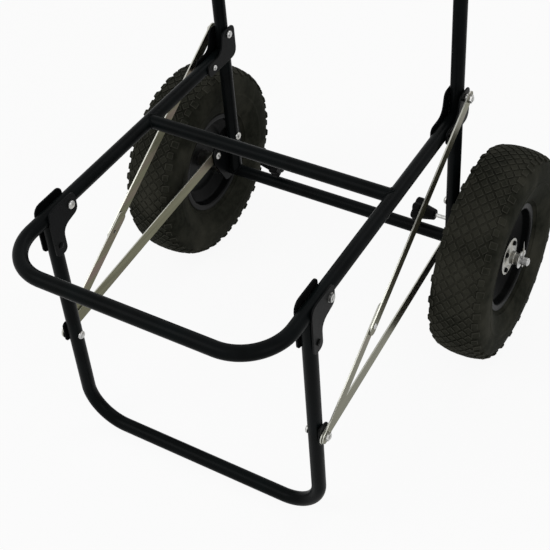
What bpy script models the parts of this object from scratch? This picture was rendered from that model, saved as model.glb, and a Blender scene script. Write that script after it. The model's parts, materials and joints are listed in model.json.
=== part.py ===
"""A folding two-wheeled game cart: a tubular bed and leg loop that fold up against a push handle,
flat braces on both sides, and an axle with two pneumatic wheels.

Frame: metres, X across the cart, -Y towards the front loop, +Z up, origin on the floor under its middle.
"""

import math

import bmesh
import bpy
from mathutils import Matrix, Vector

# Tubes
TUBE_D = 0.0254
TUBE_SIDES = 12
RAIL_HALF = 0.246
BED_Z = 0.505
BED_REACH = 0.674
BED_CORNER_R = 0.085
CROSSBAR_SETBACK = 0.420
LEG_SETBACK = 0.125
LEG_CORNER_R = 0.075
HANDLE_TOP = 1.080
HANDLE_CORNER_R = 0.090
GRIP_LENGTH = 0.280
GRIP_WALL = 0.0045
BUTT_GAP = 0.0004

# Wheels and axle
WHEEL_R = 0.208
WHEEL_X = 0.336
WHEEL_SIDES = 28
TYRE_W = 0.112
RIM_R = 0.1075
RIM_HALF_W = 0.0335
BEAD_R = 0.0980
RIM_SHEET = 0.0025
DISC_R = 0.078
HUB_R = 0.0190
HUB_IN = 0.0720
HUB_OUT = 0.0500
HUB_NOSE_R = 0.0125
HUB_FLANGE_R = 0.0370
HUB_FLANGE_AT = 0.0280
AXLE_R = 0.0080
AXLE_END = 0.0195
WASHER_R = 0.0170
WASHER_T = 0.0025
PIN_R = 0.0016

# Pivots and plates
PIVOT_OFF = 0.042
LEG_PIVOT_Z = 0.228
PLATE_T = 0.003
PLATE_GAP = 0.0003
PLATE_TAIL = 0.078
PLATE_HALF = 0.0140
PLATE_FAR = 0.0205
END_BOLT_AT = 0.058
LOW_BOLT_Z = 0.300

# Flat braces
STRAP_T = 0.0025
STRAP_GAP = 0.0005
LOWER_STRAP_HALF = 0.0132
LINK_HALF = 0.0114
UPPER_LINK_SHARE = 0.6900
LINK_LAP = 0.030

# Fasteners
BOLT_R = 0.0040
BOLT_HEAD_R = 0.0078
BOLT_HEAD_T = 0.0050
SMALL_BOLT_R = 0.0030
SMALL_HEAD_R = 0.0056
SMALL_HEAD_T = 0.0036
LOW_HEAD_T = 0.0022
HOLE_PLAY = 0.0006
SEAT = 0.0003
ROUND = 12

# Hand screws through the feet of the uprights: the left one stands further out than the right one
KNOB_Z = 0.254
KNOB_SHANK = {"left": 0.068, "right": 0.034}
KNOB_HUB = 0.027
KNOB_HEAD = 0.018
KNOB_R = 0.025
KNOB_LOBES = 6

# Worked out from the sizes above
TUBE_R = TUBE_D / 2
TUBE_FLAT = TUBE_R * math.cos(math.pi / TUBE_SIDES)
AXLE_Y = (BED_REACH + TUBE_FLAT - WHEEL_R) / 2
FRONT_Y = AXLE_Y - BED_REACH
LEG_Y = FRONT_Y + LEG_SETBACK
BED_PIVOT = Vector((AXLE_Y, BED_Z + PIVOT_OFF))
LEG_TOP_PIVOT = Vector((LEG_Y + PIVOT_OFF, BED_Z))
LEG_LOW_PIVOT = Vector((LEG_Y, LEG_PIVOT_Z))
STRAP_PIVOT = BED_PIVOT + LEG_LOW_PIVOT - LEG_TOP_PIVOT
KNEE = BED_PIVOT.lerp(LEG_LOW_PIVOT, UPPER_LINK_SHARE)
PLATE_IN = TUBE_R + PLATE_GAP
PLATE_OUT = PLATE_IN + PLATE_T
STRAP_IN = PLATE_OUT + STRAP_GAP
LAYER = STRAP_T + STRAP_GAP
SIDES = {"left": -1, "right": 1}
BOLT_SIZES = {
    "large": (BOLT_R, BOLT_HEAD_R, BOLT_HEAD_T),
    "small": (SMALL_BOLT_R, SMALL_HEAD_R, SMALL_HEAD_T),
    "low": (SMALL_BOLT_R, SMALL_HEAD_R, LOW_HEAD_T),
}

FINISHES = {
    "black_tube": ((0.012, 0.014, 0.015), 0.38, 0.0),
    "black_plate": ((0.013, 0.014, 0.015), 0.45, 0.0),
    "yellow_zinc": ((0.30, 0.29, 0.22), 0.32, 1.0),
    "bright_zinc": ((0.56, 0.56, 0.55), 0.28, 1.0),
    "black_plastic": ((0.014, 0.014, 0.015), 0.55, 0.0),
    "foam": ((0.020, 0.020, 0.021), 0.90, 0.0),
    "tyre_rubber": ((0.030, 0.029, 0.025), 0.85, 0.0),
    "rim_paint": ((0.015, 0.015, 0.016), 0.40, 0.0),
}


def clear_scene():
    """Removes whatever the file holds, so that the cart stands alone."""
    for item in list(bpy.data.objects):
        bpy.data.objects.remove(item, do_unlink=True)


def finish(kind):
    """The Principled material of one finish, made once."""
    found = bpy.data.materials.get(kind)
    if found:
        return found
    colour, roughness, metallic = FINISHES[kind]
    material = bpy.data.materials.new(kind)
    material.use_nodes = True
    shader = material.node_tree.nodes["Principled BSDF"]
    shader.inputs["Base Color"].default_value = (*colour, 1.0)
    shader.inputs["Roughness"].default_value = roughness
    shader.inputs["Metallic"].default_value = metallic
    material.diffuse_color = (*colour, 1.0)
    return material


def add_piece(name, shape, kind):
    """Closes a bmesh into a named object of the scene, with its finish and soft shading."""
    bmesh.ops.remove_doubles(shape, verts=shape.verts, dist=1e-6)
    bmesh.ops.recalc_face_normals(shape, faces=shape.faces)
    mesh = bpy.data.meshes.new(name)
    shape.to_mesh(mesh)
    shape.free()
    mesh.shade_smooth()
    mesh.set_sharp_from_angle(angle=math.radians(40))
    mesh.materials.append(finish(kind))
    piece = bpy.data.objects.new(name, mesh)
    bpy.context.scene.collection.objects.link(piece)
    return piece


def hang(pieces, name, point, parent=None):
    """Parents pieces to an empty on their joint's axis, and that empty to the one that carries it."""
    pivot = bpy.data.objects.new(name, None)
    pivot.empty_display_size = 0.03
    bpy.context.scene.collection.objects.link(pivot)
    carried_at = Vector(parent["point"]) if parent else Vector()
    pivot["point"] = point
    pivot.location = Vector(point) - carried_at
    pivot.parent = parent
    for piece in pieces:
        piece.data.transform(Matrix.Translation(-Vector(point)))
        piece.parent = pivot
        for cut in piece.modifiers:
            cut.object.data.transform(Matrix.Translation(-Vector(point)))
            cut.object.parent = pivot
    return pivot


def arc(centre, radius, start, end, steps):
    """Points on an arc in a plane, both ends included, angles in radians."""
    turn = (end - start) / steps
    spots = [start + turn * i for i in range(steps + 1)]
    return [Vector((centre[0] + radius * math.cos(a), centre[1] + radius * math.sin(a))) for a in spots]


def fillet(before, corner, after, radius, steps):
    """The points that round a corner of a flat path off to a radius."""
    corner = Vector(corner)
    to_before = (Vector(before) - corner).normalized()
    to_after = (Vector(after) - corner).normalized()
    half = math.acos(max(-1.0, min(1.0, to_before.dot(to_after)))) / 2
    inward = (to_before + to_after).normalized()
    centre = corner + inward * radius / math.sin(half)
    reach = radius / math.tan(half)
    first = corner + to_before * reach - centre
    turn = first.angle_signed(corner + to_after * reach - centre)
    return [centre + Matrix.Rotation(-turn * i / steps, 2) @ first for i in range(steps + 1)]


def rounded_outline(corners, steps=4):
    """A closed outline from corners given as (u, v, radius)."""
    points = []
    for i, (u, v, radius) in enumerate(corners):
        before = corners[i - 1][:2]
        after = corners[(i + 1) % len(corners)][:2]
        points += fillet(before, (u, v), after, radius, steps)
    return points


def strap_outline(start, end, half, before, after, steps=6):
    """A bar with half-round ends that runs a little past its two pivots."""
    along = (end - start).normalized()
    heading = math.atan2(along.y, along.x)
    tail = arc(start - along * before, half, heading + math.pi / 2, heading + math.pi * 1.5, steps)
    tip = arc(end + along * after, half, heading - math.pi / 2, heading + math.pi / 2, steps)
    return tail + tip


def plate(name, outline, holes, x_low, thickness, kind):
    """A flat plate in the YZ plane from an outline, with round holes given as (centre, radius)."""
    curve = bpy.data.curves.new(name, "CURVE")
    curve.dimensions = "2D"
    curve.fill_mode = "BOTH"
    curve.extrude = thickness / 2
    rings = [outline] + [arc(centre, radius, 0, math.tau, ROUND)[:-1] for centre, radius in holes]
    for ring in rings:
        spline = curve.splines.new("POLY")
        spline.points.add(len(ring) - 1)
        for point, spot in zip(spline.points, ring):
            point.co = (spot[0], spot[1], 0.0, 1.0)
        spline.use_cyclic_u = True
    sheet = bpy.data.objects.new(name, curve)
    bpy.context.scene.collection.objects.link(sheet)
    bpy.context.view_layer.update()
    flat = bpy.data.meshes.new_from_object(sheet.evaluated_get(bpy.context.evaluated_depsgraph_get()))
    bpy.data.objects.remove(sheet, do_unlink=True)
    bpy.data.curves.remove(curve)
    stand_up = Matrix(((0, 0, 1, x_low + thickness / 2), (1, 0, 0, 0), (0, 1, 0, 0), (0, 0, 0, 1)))
    flat.transform(stand_up)
    shape = bmesh.new()
    shape.from_mesh(flat)
    bpy.data.meshes.remove(flat)
    return add_piece(name, shape, kind)


def side_plate(name, outline, holes, side, inner, thickness, kind):
    """A plate on one side of the cart, its inner face at a distance from the rails' centre line."""
    near = RAIL_HALF + inner
    x_low = near if SIDES[side] > 0 else -near - thickness
    return plate(name, outline, holes, x_low, thickness, kind)


def skin_rings(shape, rings, closed):
    """Joins rings of equal count with faces, and caps the two ends unless the run closes on itself."""
    count = len(rings[0])
    runs = list(zip(rings, rings[1:] + rings[:1])) if closed else list(zip(rings, rings[1:]))
    for one, two in runs:
        for i in range(count):
            j = (i + 1) % count
            shape.faces.new((one[i], one[j], two[j], two[i]))
    if not closed:
        shape.faces.new(rings[0])
        shape.faces.new(rings[-1])


def tube(name, path, normal, radius, kind, sides=TUBE_SIDES):
    """A round bar swept along a flat path, mitred at its points, with flats along and across the plane."""
    normal = Vector(normal)
    path = [Vector(point) for point in path]
    shape = bmesh.new()
    rings = []
    for i, point in enumerate(path):
        come = (point - path[i - 1]).normalized() if i else (path[1] - point).normalized()
        go = (path[i + 1] - point).normalized() if i + 1 < len(path) else come
        across = normal.cross((come + go).normalized())
        stretch = 1 / math.cos(come.angle(go) / 2)
        spots = [math.tau * (k + 0.5) / sides for k in range(sides)]
        rings.append([
            shape.verts.new(point + across * radius * stretch * math.cos(a) + normal * radius * math.sin(a))
            for a in spots
        ])
    skin_rings(shape, rings, closed=False)
    return add_piece(name, shape, kind)


def plain(angle):
    """A round section."""
    return 1.0


def hexagon(angle):
    """A hexagonal section, as a share of its corner radius."""
    return math.cos(math.pi / 6) / math.cos((angle + math.pi / 6) % (math.pi / 3) - math.pi / 6)


def lobed(angle):
    """A star section with one lobe for each grip of the hand."""
    return 1.0 + 0.16 * math.cos(KNOB_LOBES * angle)


def turned(name, profile, centre, kind, sides=ROUND, ring=False, flats=False):
    """A piece turned about an X axis through centre = (y, z); profile rows are (x, radius, section).

    A ring's profile closes on itself and leaves a bore. With flats, the flats of the round lie at the
    stated radius and one of them faces the floor.
    """
    shape = bmesh.new()
    grow = 1 / math.cos(math.pi / sides) if flats else 1.0
    shift = 0.5 if flats else 0.0
    rings = []
    for x, radius, section in profile:
        spots = [math.tau * (k + shift) / sides for k in range(sides)]
        rings.append([
            shape.verts.new((
                x,
                centre[0] + radius * grow * section(a) * math.cos(a),
                centre[1] + radius * grow * section(a) * math.sin(a),
            ))
            for a in spots
        ])
    skin_rings(shape, rings, closed=ring)
    return add_piece(name, shape, kind)


def drill(piece, holes, axis="X"):
    """Cuts round holes, given as (centre, radius, length), along one axis with a single hidden cutter."""
    shape = bmesh.new()
    turn = Matrix.Rotation(math.pi / 2, 4, "Y") if axis == "X" else Matrix.Identity(4)
    for centre, radius, length in holes:
        bmesh.ops.create_cone(
            shape, cap_ends=True, segments=ROUND, radius1=radius, radius2=radius, depth=length,
            matrix=Matrix.Translation(centre) @ turn,
        )
    mesh = bpy.data.meshes.new(piece.name + "_drill")
    shape.to_mesh(mesh)
    shape.free()
    cutter = bpy.data.objects.new(mesh.name, mesh)
    cutter.hide_render = True
    cutter.display_type = "WIRE"
    bpy.context.scene.collection.objects.link(cutter)
    cut = piece.modifiers.new("drilled", "BOOLEAN")
    cut.operation = "DIFFERENCE"
    cut.solver = "EXACT"
    cut.object = cutter


def round_rows(rows):
    """Rows of (x, radius) as a round profile."""
    return [(x, radius, plain) for x, radius in rows]


def mirrored(profile, side):
    """A profile that runs outwards on the right side, turned over for the left side."""
    return [(x * SIDES[side], radius, section) for x, radius, section in profile]


def bolt(name, centre, side, stack, size="large", collar=None):
    """A domed bolt through a stack that lies between two distances from the rails' centre line.

    The dome faces the inside of the cart and the nut the outside. A collar fills a gap in the stack.
    """
    shank, head, thick = BOLT_SIZES[size]
    inner = RAIL_HALF + stack[0] - SEAT
    outer = RAIL_HALF + stack[1] + SEAT
    rows = round_rows([
        (inner - thick, head * 0.35),
        (inner - thick * 0.75, head * 0.75),
        (inner - thick * 0.30, head),
        (inner, head),
        (inner, shank),
    ])
    if collar:
        low = RAIL_HALF + collar[0] + SEAT
        high = RAIL_HALF + collar[1] - SEAT
        rows += round_rows([(low, shank), (low, head), (high, head), (high, shank)])
    rows += [(outer, shank, plain), (outer, head, hexagon), (outer + thick, head, hexagon)]
    rows += round_rows([(outer + thick, shank), (outer + thick * 1.25, shank * 0.9)])
    return turned(name, mirrored(rows, side), centre, "bright_zinc")


def handle_frame():
    """The push handle: one inverted U whose legs run down to the axle, with a foam grip on its top bar."""
    foot = WHEEL_R + TUBE_R + BUTT_GAP
    top = [(-RAIL_HALF, foot), (-RAIL_HALF, HANDLE_TOP), (RAIL_HALF, HANDLE_TOP), (RAIL_HALF, foot)]
    path = [top[0]]
    for i in (1, 2):
        path += fillet(top[i - 1], top[i], top[i + 1], HANDLE_CORNER_R, 6)
    path.append(top[3])
    handle = tube("handle_tube", [(x, AXLE_Y, z) for x, z in path], (0, 1, 0), TUBE_R, "black_tube")
    holes = []
    for sign in SIDES.values():
        for height in (BED_PIVOT.y, LOW_BOLT_Z, KNOB_Z):
            holes.append(((sign * RAIL_HALF, AXLE_Y, height), BOLT_R + HOLE_PLAY, TUBE_D * 2))
    drill(handle, holes)
    inside = TUBE_R + PLATE_GAP
    outside = inside + GRIP_WALL
    half = GRIP_LENGTH / 2
    grip_rows = [(-half, inside), (-half, outside - 0.001), (0.002 - half, outside)]
    grip_rows += [(half - 0.002, outside), (half, outside - 0.001), (half, inside)]
    turned("handle_grip", round_rows(grip_rows), (AXLE_Y, HANDLE_TOP), "foam", sides=16, ring=True)


def axle():
    """The axle tube under the uprights, the rod that runs through it, and what keeps the wheels on."""
    centre = (AXLE_Y, WHEEL_R)
    bore = AXLE_R + HOLE_PLAY
    rows = [(-RAIL_HALF - TUBE_R, bore), (-RAIL_HALF - TUBE_R, TUBE_R), (RAIL_HALF + TUBE_R, TUBE_R)]
    rows.append((RAIL_HALF + TUBE_R, bore))
    turned("axle_tube", round_rows(rows), centre, "black_tube", sides=16, ring=True)
    hub_end = WHEEL_X + HUB_OUT
    tip = hub_end + AXLE_END
    rod_rows = [(-tip, AXLE_R * 0.8), (-tip + 0.002, AXLE_R), (tip - 0.002, AXLE_R), (tip, AXLE_R * 0.8)]
    rod = turned("axle_shaft", round_rows(rod_rows), centre, "bright_zinc", sides=16)
    pin_x = hub_end + WASHER_T + 2 * SEAT + PIN_R + 0.0022
    drill(rod, [((s * pin_x, *centre), PIN_R + 0.0004, AXLE_R * 4) for s in SIDES.values()], axis="Z")
    for side, sign in SIDES.items():
        low = hub_end + SEAT
        washer_rows = [(low, bore), (low, WASHER_R), (low + WASHER_T, WASHER_R), (low + WASHER_T, bore)]
        rows = mirrored(round_rows(washer_rows), side)
        turned(f"{side}_axle_washer", rows, centre, "bright_zinc", sides=16, ring=True)
        split_pin(f"{side}_split_pin", sign * pin_x)


def split_pin(name, x):
    """A split pin dropped through the axle's end: an eye above and a straight leg below."""
    eye_r = PIN_R * 2.6
    eye_z = WHEEL_R + AXLE_R + eye_r + 0.004
    eye = arc((AXLE_Y + eye_r, eye_z), eye_r, math.pi * 0.70, -math.pi, 10)
    path = [(x, y, z) for y, z in eye] + [(x, AXLE_Y, WHEEL_R - AXLE_R - 0.007)]
    tube(name, path, (1, 0, 0), PIN_R, "bright_zinc", sides=8)


def axle_plates():
    """The plates that tie the uprights' feet to the axle and carry the rear pivots of the lower straps."""
    for side in SIDES:
        corners = [
            (AXLE_Y + 0.020, WHEEL_R - 0.020, 0.012),
            (AXLE_Y + 0.018, LOW_BOLT_Z + 0.016, 0.010),
            (AXLE_Y - 0.018, LOW_BOLT_Z + 0.016, 0.010),
            (STRAP_PIVOT.x - 0.014, STRAP_PIVOT.y + 0.016, 0.012),
            (STRAP_PIVOT.x - 0.014, STRAP_PIVOT.y - 0.014, 0.010),
            (AXLE_Y - 0.020, WHEEL_R - 0.020, 0.012),
        ]
        play = BOLT_R + HOLE_PLAY
        holes = [((AXLE_Y, WHEEL_R), AXLE_R + HOLE_PLAY), (STRAP_PIVOT, play), ((AXLE_Y, LOW_BOLT_Z), play)]
        outline = rounded_outline(corners)
        side_plate(f"{side}_axle_plate", outline, holes, side, PLATE_IN, PLATE_T, "black_plate")
        bolt(f"{side}_foot_bolt", (AXLE_Y, LOW_BOLT_Z), side, (-TUBE_FLAT, PLATE_OUT))
        bolt(f"{side}_strap_bolt", STRAP_PIVOT, side, (PLATE_IN, STRAP_IN + STRAP_T))
        outer = STRAP_IN + 2 * LAYER
        gap = (PLATE_OUT, outer)
        bolt(f"{side}_bed_pivot_bolt", BED_PIVOT, side, (-PLATE_OUT, outer + STRAP_T), collar=gap)


def hand_screws():
    """The two star-headed hand screws through the uprights' feet."""
    for side in SIDES:
        neck = RAIL_HALF - KNOB_SHANK[side]
        back = neck - KNOB_HUB
        face = back - KNOB_HEAD
        rows = round_rows([(RAIL_HALF + 0.009, BOLT_R * 0.8), (RAIL_HALF + 0.008, BOLT_R), (neck, BOLT_R)])
        rows += round_rows([(neck, KNOB_R * 0.42), (back, KNOB_R * 0.62)])
        rows += [(back, KNOB_R * 0.90, lobed), (back - 0.003, KNOB_R, lobed), (face + 0.003, KNOB_R, lobed)]
        rows += [(face, KNOB_R * 0.85, lobed)]
        centre = (AXLE_Y, KNOB_Z)
        knob = turned(f"{side}_hand_screw", mirrored(rows, side), centre, "black_plastic", sides=24)
        hang([knob], f"{side}_hand_screw_axis", (SIDES[side] * neck, *centre))


def joint_plate(name, side, inner, origin, along, across, holes):
    """A bent plate at a tube joint: its tail lies on the folding tube, its eye on the tube that carries it."""
    corners = [
        (PLATE_TAIL, -PLATE_HALF, 0.010),
        (PLATE_TAIL, PLATE_HALF, 0.010),
        (PLATE_FAR + 0.010, PLATE_HALF, 0.020),
        (PLATE_FAR, PIVOT_OFF + PLATE_FAR * 0.7, PLATE_FAR * 0.6),
        (-PLATE_FAR, PIVOT_OFF + PLATE_FAR * 0.7, PLATE_FAR * 0.6),
        (-PLATE_FAR, -PLATE_HALF, 0.016),
    ]
    outline = [origin + along * u + across * v for u, v in rounded_outline(corners)]
    return side_plate(name, outline, holes, side, inner, PLATE_T, "black_plate")


def joint_plates(stem, origin, along, across, pivot, end_bolt):
    """The four plates of one pair of tube joints, an inner and an outer one on each side."""
    holes = [(pivot, BOLT_R + HOLE_PLAY), (end_bolt, SMALL_BOLT_R + HOLE_PLAY)]
    pieces = []
    for side in SIDES:
        for place, inner in (("inner", -PLATE_OUT), ("outer", PLATE_IN)):
            name = f"{side}_{stem}_{place}_plate"
            pieces.append(joint_plate(name, side, inner, origin, along, across, holes))
    return pieces


def bed():
    """The bed: a flat U of tube with a crossbar, and the plates that hang it on the uprights."""
    rear = AXLE_Y - TUBE_R - BUTT_GAP
    ends = [(-RAIL_HALF, rear), (-RAIL_HALF, FRONT_Y), (RAIL_HALF, FRONT_Y), (RAIL_HALF, rear)]
    path = [ends[0]]
    for i in (1, 2):
        path += fillet(ends[i - 1], ends[i], ends[i + 1], BED_CORNER_R, 7)
    path.append(ends[3])
    loop = tube("bed_loop", [(x, y, BED_Z) for x, y in path], (0, 0, 1), TUBE_R, "black_tube")
    end_bolt = Vector((AXLE_Y - END_BOLT_AT, BED_Z))
    holes = []
    for sign in SIDES.values():
        holes.append(((sign * RAIL_HALF, *LEG_TOP_PIVOT), BOLT_R + HOLE_PLAY, TUBE_D * 2))
        holes.append(((sign * RAIL_HALF, *end_bolt), SMALL_BOLT_R + HOLE_PLAY, TUBE_D * 2))
    drill(loop, holes)
    reach = RAIL_HALF - TUBE_FLAT - BUTT_GAP
    bar_y = FRONT_Y + CROSSBAR_SETBACK
    bar = tube("bed_crossbar", [(-reach, bar_y, BED_Z), (reach, bar_y, BED_Z)], (0, 0, 1), TUBE_R, "black_tube")
    corner = Vector((AXLE_Y, BED_Z))
    pieces = [loop, bar]
    pieces += joint_plates("bed", corner, Vector((-1, 0)), Vector((0, 1)), BED_PIVOT, end_bolt)
    through = (-PLATE_OUT, PLATE_OUT)
    for side in SIDES:
        pieces.append(bolt(f"{side}_rail_end_bolt", end_bolt, side, through, size="small"))
        pieces.append(bolt(f"{side}_leg_pivot_bolt", LEG_TOP_PIVOT, side, through))
    return hang(pieces, "bed_axis", (0, *BED_PIVOT))


def leg(bed_axis):
    """The front leg: a U of tube under the bed, its joint plates, and the ears that hold the braces."""
    top = BED_Z - TUBE_R - BUTT_GAP
    ends = [(-RAIL_HALF, top), (-RAIL_HALF, TUBE_FLAT), (RAIL_HALF, TUBE_FLAT), (RAIL_HALF, top)]
    path = [ends[0]]
    for i in (1, 2):
        path += fillet(ends[i - 1], ends[i], ends[i + 1], LEG_CORNER_R, 7)
    path.append(ends[3])
    loop = tube("leg_loop", [(x, LEG_Y, z) for x, z in path], (0, 1, 0), TUBE_R, "black_tube")
    end_bolt = Vector((LEG_Y, BED_Z - END_BOLT_AT))
    holes = []
    for sign in SIDES.values():
        holes.append(((sign * RAIL_HALF, *LEG_LOW_PIVOT), BOLT_R + HOLE_PLAY, TUBE_D * 2))
        holes.append(((sign * RAIL_HALF, *end_bolt), SMALL_BOLT_R + HOLE_PLAY, TUBE_D * 2))
    drill(loop, holes)
    corner = Vector((LEG_Y, BED_Z))
    pieces = [loop]
    pieces += joint_plates("leg", corner, Vector((0, -1)), Vector((1, 0)), LEG_TOP_PIVOT, end_bolt)
    ear_corners = [
        (LEG_Y - 0.014, LEG_PIVOT_Z - 0.018, 0.008),
        (LEG_Y + 0.016, LEG_PIVOT_Z - 0.018, 0.012),
        (LEG_Y + 0.016, LEG_PIVOT_Z + 0.018, 0.012),
        (LEG_Y - 0.014, LEG_PIVOT_Z + 0.030, 0.008),
    ]
    for side in SIDES:
        hole = [(LEG_LOW_PIVOT, BOLT_R + HOLE_PLAY)]
        ear = rounded_outline(ear_corners)
        pieces.append(side_plate(f"{side}_leg_ear", ear, hole, side, PLATE_IN, PLATE_T, "black_plate"))
        pieces.append(bolt(f"{side}_leg_top_bolt", end_bolt, side, (-PLATE_OUT, PLATE_OUT), size="low"))
        stack = (-TUBE_FLAT, STRAP_IN + LAYER + STRAP_T)
        pieces.append(bolt(f"{side}_brace_bolt", LEG_LOW_PIVOT, side, stack))
    return hang(pieces, "leg_axis", (0, *LEG_TOP_PIVOT), bed_axis)


def braces(leg_axis):
    """The flat bars of each side: a lower strap, and a diagonal brace in two links that lap at a knee."""
    play = BOLT_R + HOLE_PLAY
    knee_play = SMALL_BOLT_R + HOLE_PLAY
    for side, sign in SIDES.items():
        run = strap_outline(STRAP_PIVOT, LEG_LOW_PIVOT, LOWER_STRAP_HALF, 0.003, 0.003)
        holes = [(STRAP_PIVOT, play), (LEG_LOW_PIVOT, play)]
        strap = side_plate(f"{side}_lower_strap", run, holes, side, STRAP_IN, STRAP_T, "yellow_zinc")
        run = strap_outline(LEG_LOW_PIVOT, KNEE, LINK_HALF, 0.003, LINK_LAP)
        holes = [(LEG_LOW_PIVOT, play), (KNEE, knee_play)]
        low = side_plate(f"{side}_lower_link", run, holes, side, STRAP_IN + LAYER, STRAP_T, "yellow_zinc")
        run = strap_outline(BED_PIVOT, KNEE, LINK_HALF, 0.003, 0.006)
        holes = [(BED_PIVOT, play), (KNEE, knee_play)]
        inner = STRAP_IN + 2 * LAYER
        high = side_plate(f"{side}_upper_link", run, holes, side, inner, STRAP_T, "yellow_zinc")
        rivet = knee_rivet(side, RAIL_HALF + inner)
        x = sign * (RAIL_HALF + inner)
        hang([strap], f"{side}_lower_strap_axis", (x, *STRAP_PIVOT))
        hang([low], f"{side}_lower_link_axis", (x, *LEG_LOW_PIVOT), leg_axis)
        hang([high, rivet], f"{side}_upper_link_axis", (x, *BED_PIVOT))


def knee_rivet(side, inner):
    """The rivet in the lower eye of the upper link, its dome outside."""
    outer = inner + STRAP_T + SEAT
    rows = [(inner + SEAT, SMALL_BOLT_R), (outer, SMALL_BOLT_R), (outer, SMALL_HEAD_R)]
    rows += [(outer + 0.0012, SMALL_HEAD_R * 0.92), (outer + 0.0026, SMALL_HEAD_R * 0.45)]
    return turned(f"{side}_knee_rivet", mirrored(round_rows(rows), side), KNEE, "bright_zinc")


def tyre_rows():
    """The tyre's section from the bead over the sidewall and crown, as half of a symmetric profile."""
    half = TYRE_W / 2
    bead = RIM_HALF_W - SEAT
    flange = RIM_R + 2 * SEAT
    wall = WHEEL_R - flange
    return [
        (bead, BEAD_R + SEAT),
        (bead, flange),
        (half * 0.78, flange + wall * 0.10),
        (half * 0.96, flange + wall * 0.36),
        (half, flange + wall * 0.56),
        (half * 0.95, flange + wall * 0.77),
        (half * 0.76, flange + wall * 0.92),
        (half * 0.40, WHEEL_R - 0.0015),
    ]


def rim_rows():
    """One pressed half of the split rim: disc, dish, bead seat and flange, then back along its other face."""
    sheet = RIM_SHEET
    face = SEAT / 2
    eye = HUB_R + 2 * SEAT
    return [
        (face, eye),
        (face, DISC_R),
        (0.010, BEAD_R - 0.006),
        (0.016, BEAD_R),
        (RIM_HALF_W, BEAD_R),
        (RIM_HALF_W, RIM_R),
        (RIM_HALF_W + sheet, RIM_R),
        (RIM_HALF_W + sheet, BEAD_R - sheet),
        (0.018, BEAD_R - sheet),
        (0.013, BEAD_R - 0.006 - sheet),
        (face + sheet, DISC_R - sheet * 0.6),
        (face + sheet, eye),
    ]


def wheel(side):
    """One wheel: tyre, two rim halves, hub, bolted hub flange and valve stem, about the axle."""
    sign = SIDES[side]
    centre = (AXLE_Y, WHEEL_R)

    def placed(rows, outward=1):
        """Rows measured from the wheel's middle plane, outwards on this side of the cart."""
        return [(sign * (WHEEL_X + outward * x), radius, plain) for x, radius in rows]

    half = tyre_rows()
    section = placed(half) + placed([(0.0, WHEEL_R)]) + placed(half[::-1], -1)
    pieces = [
        turned(f"{side}_tyre", section, centre, "tyre_rubber", sides=WHEEL_SIDES, ring=True, flats=True)
    ]
    for place, outward in (("outer", 1), ("inner", -1)):
        rows = placed(rim_rows(), outward)
        name = f"{side}_rim_{place}"
        pieces.append(turned(name, rows, centre, "rim_paint", sides=WHEEL_SIDES, ring=True, flats=True))
    bore = AXLE_R + HOLE_PLAY
    hub_rows = [(-HUB_IN, bore), (-HUB_IN, HUB_R), (HUB_FLANGE_AT - SEAT, HUB_R)]
    hub_rows += [(HUB_FLANGE_AT - SEAT, HUB_NOSE_R), (HUB_OUT, HUB_NOSE_R), (HUB_OUT, bore)]
    pieces.append(turned(f"{side}_hub", placed(hub_rows), centre, "bright_zinc", sides=20, ring=True))
    eye = HUB_NOSE_R + 2 * SEAT
    face = HUB_FLANGE_AT + 0.003
    flange_rows = [(HUB_FLANGE_AT, eye), (HUB_FLANGE_AT, HUB_FLANGE_R), (face, HUB_FLANGE_R)]
    flange_rows += [(face, HUB_NOSE_R + 0.008), (face + 0.004, HUB_NOSE_R + 0.004), (face + 0.004, eye)]
    pieces.append(turned(f"{side}_hub_flange", placed(flange_rows), centre, "bright_zinc", sides=20, ring=True))
    low = SEAT / 2 + RIM_SHEET + SEAT
    stem_rows = [(low, 0.0045), (low + 0.012, 0.0045), (low + 0.013, 0.0030), (low + 0.024, 0.0030)]
    stem_at = (AXLE_Y, WHEEL_R + 0.066)
    pieces.append(turned(f"{side}_valve_stem", placed(stem_rows), stem_at, "black_plastic", sides=10))
    hang(pieces, f"{side}_wheel_axis", (sign * WHEEL_X, *centre))


def main():
    """Builds the cart from the handle frame outwards."""
    clear_scene()
    handle_frame()
    axle()
    axle_plates()
    hand_screws()
    bed_axis = bed()
    leg_axis = leg(bed_axis)
    braces(leg_axis)
    for side in SIDES:
        wheel(side)


main()
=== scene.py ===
"""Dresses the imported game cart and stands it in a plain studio.

Finished tubes, plates, braces, fasteners and tyred wheels take the place of the plain solids.
"""

import json
import logging
import math
from dataclasses import dataclass, field
from enum import Enum
from typing import Callable, ClassVar, Iterable, Optional, Sequence

import bmesh
import bpy
from mathutils import Matrix, Quaternion, Vector

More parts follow.
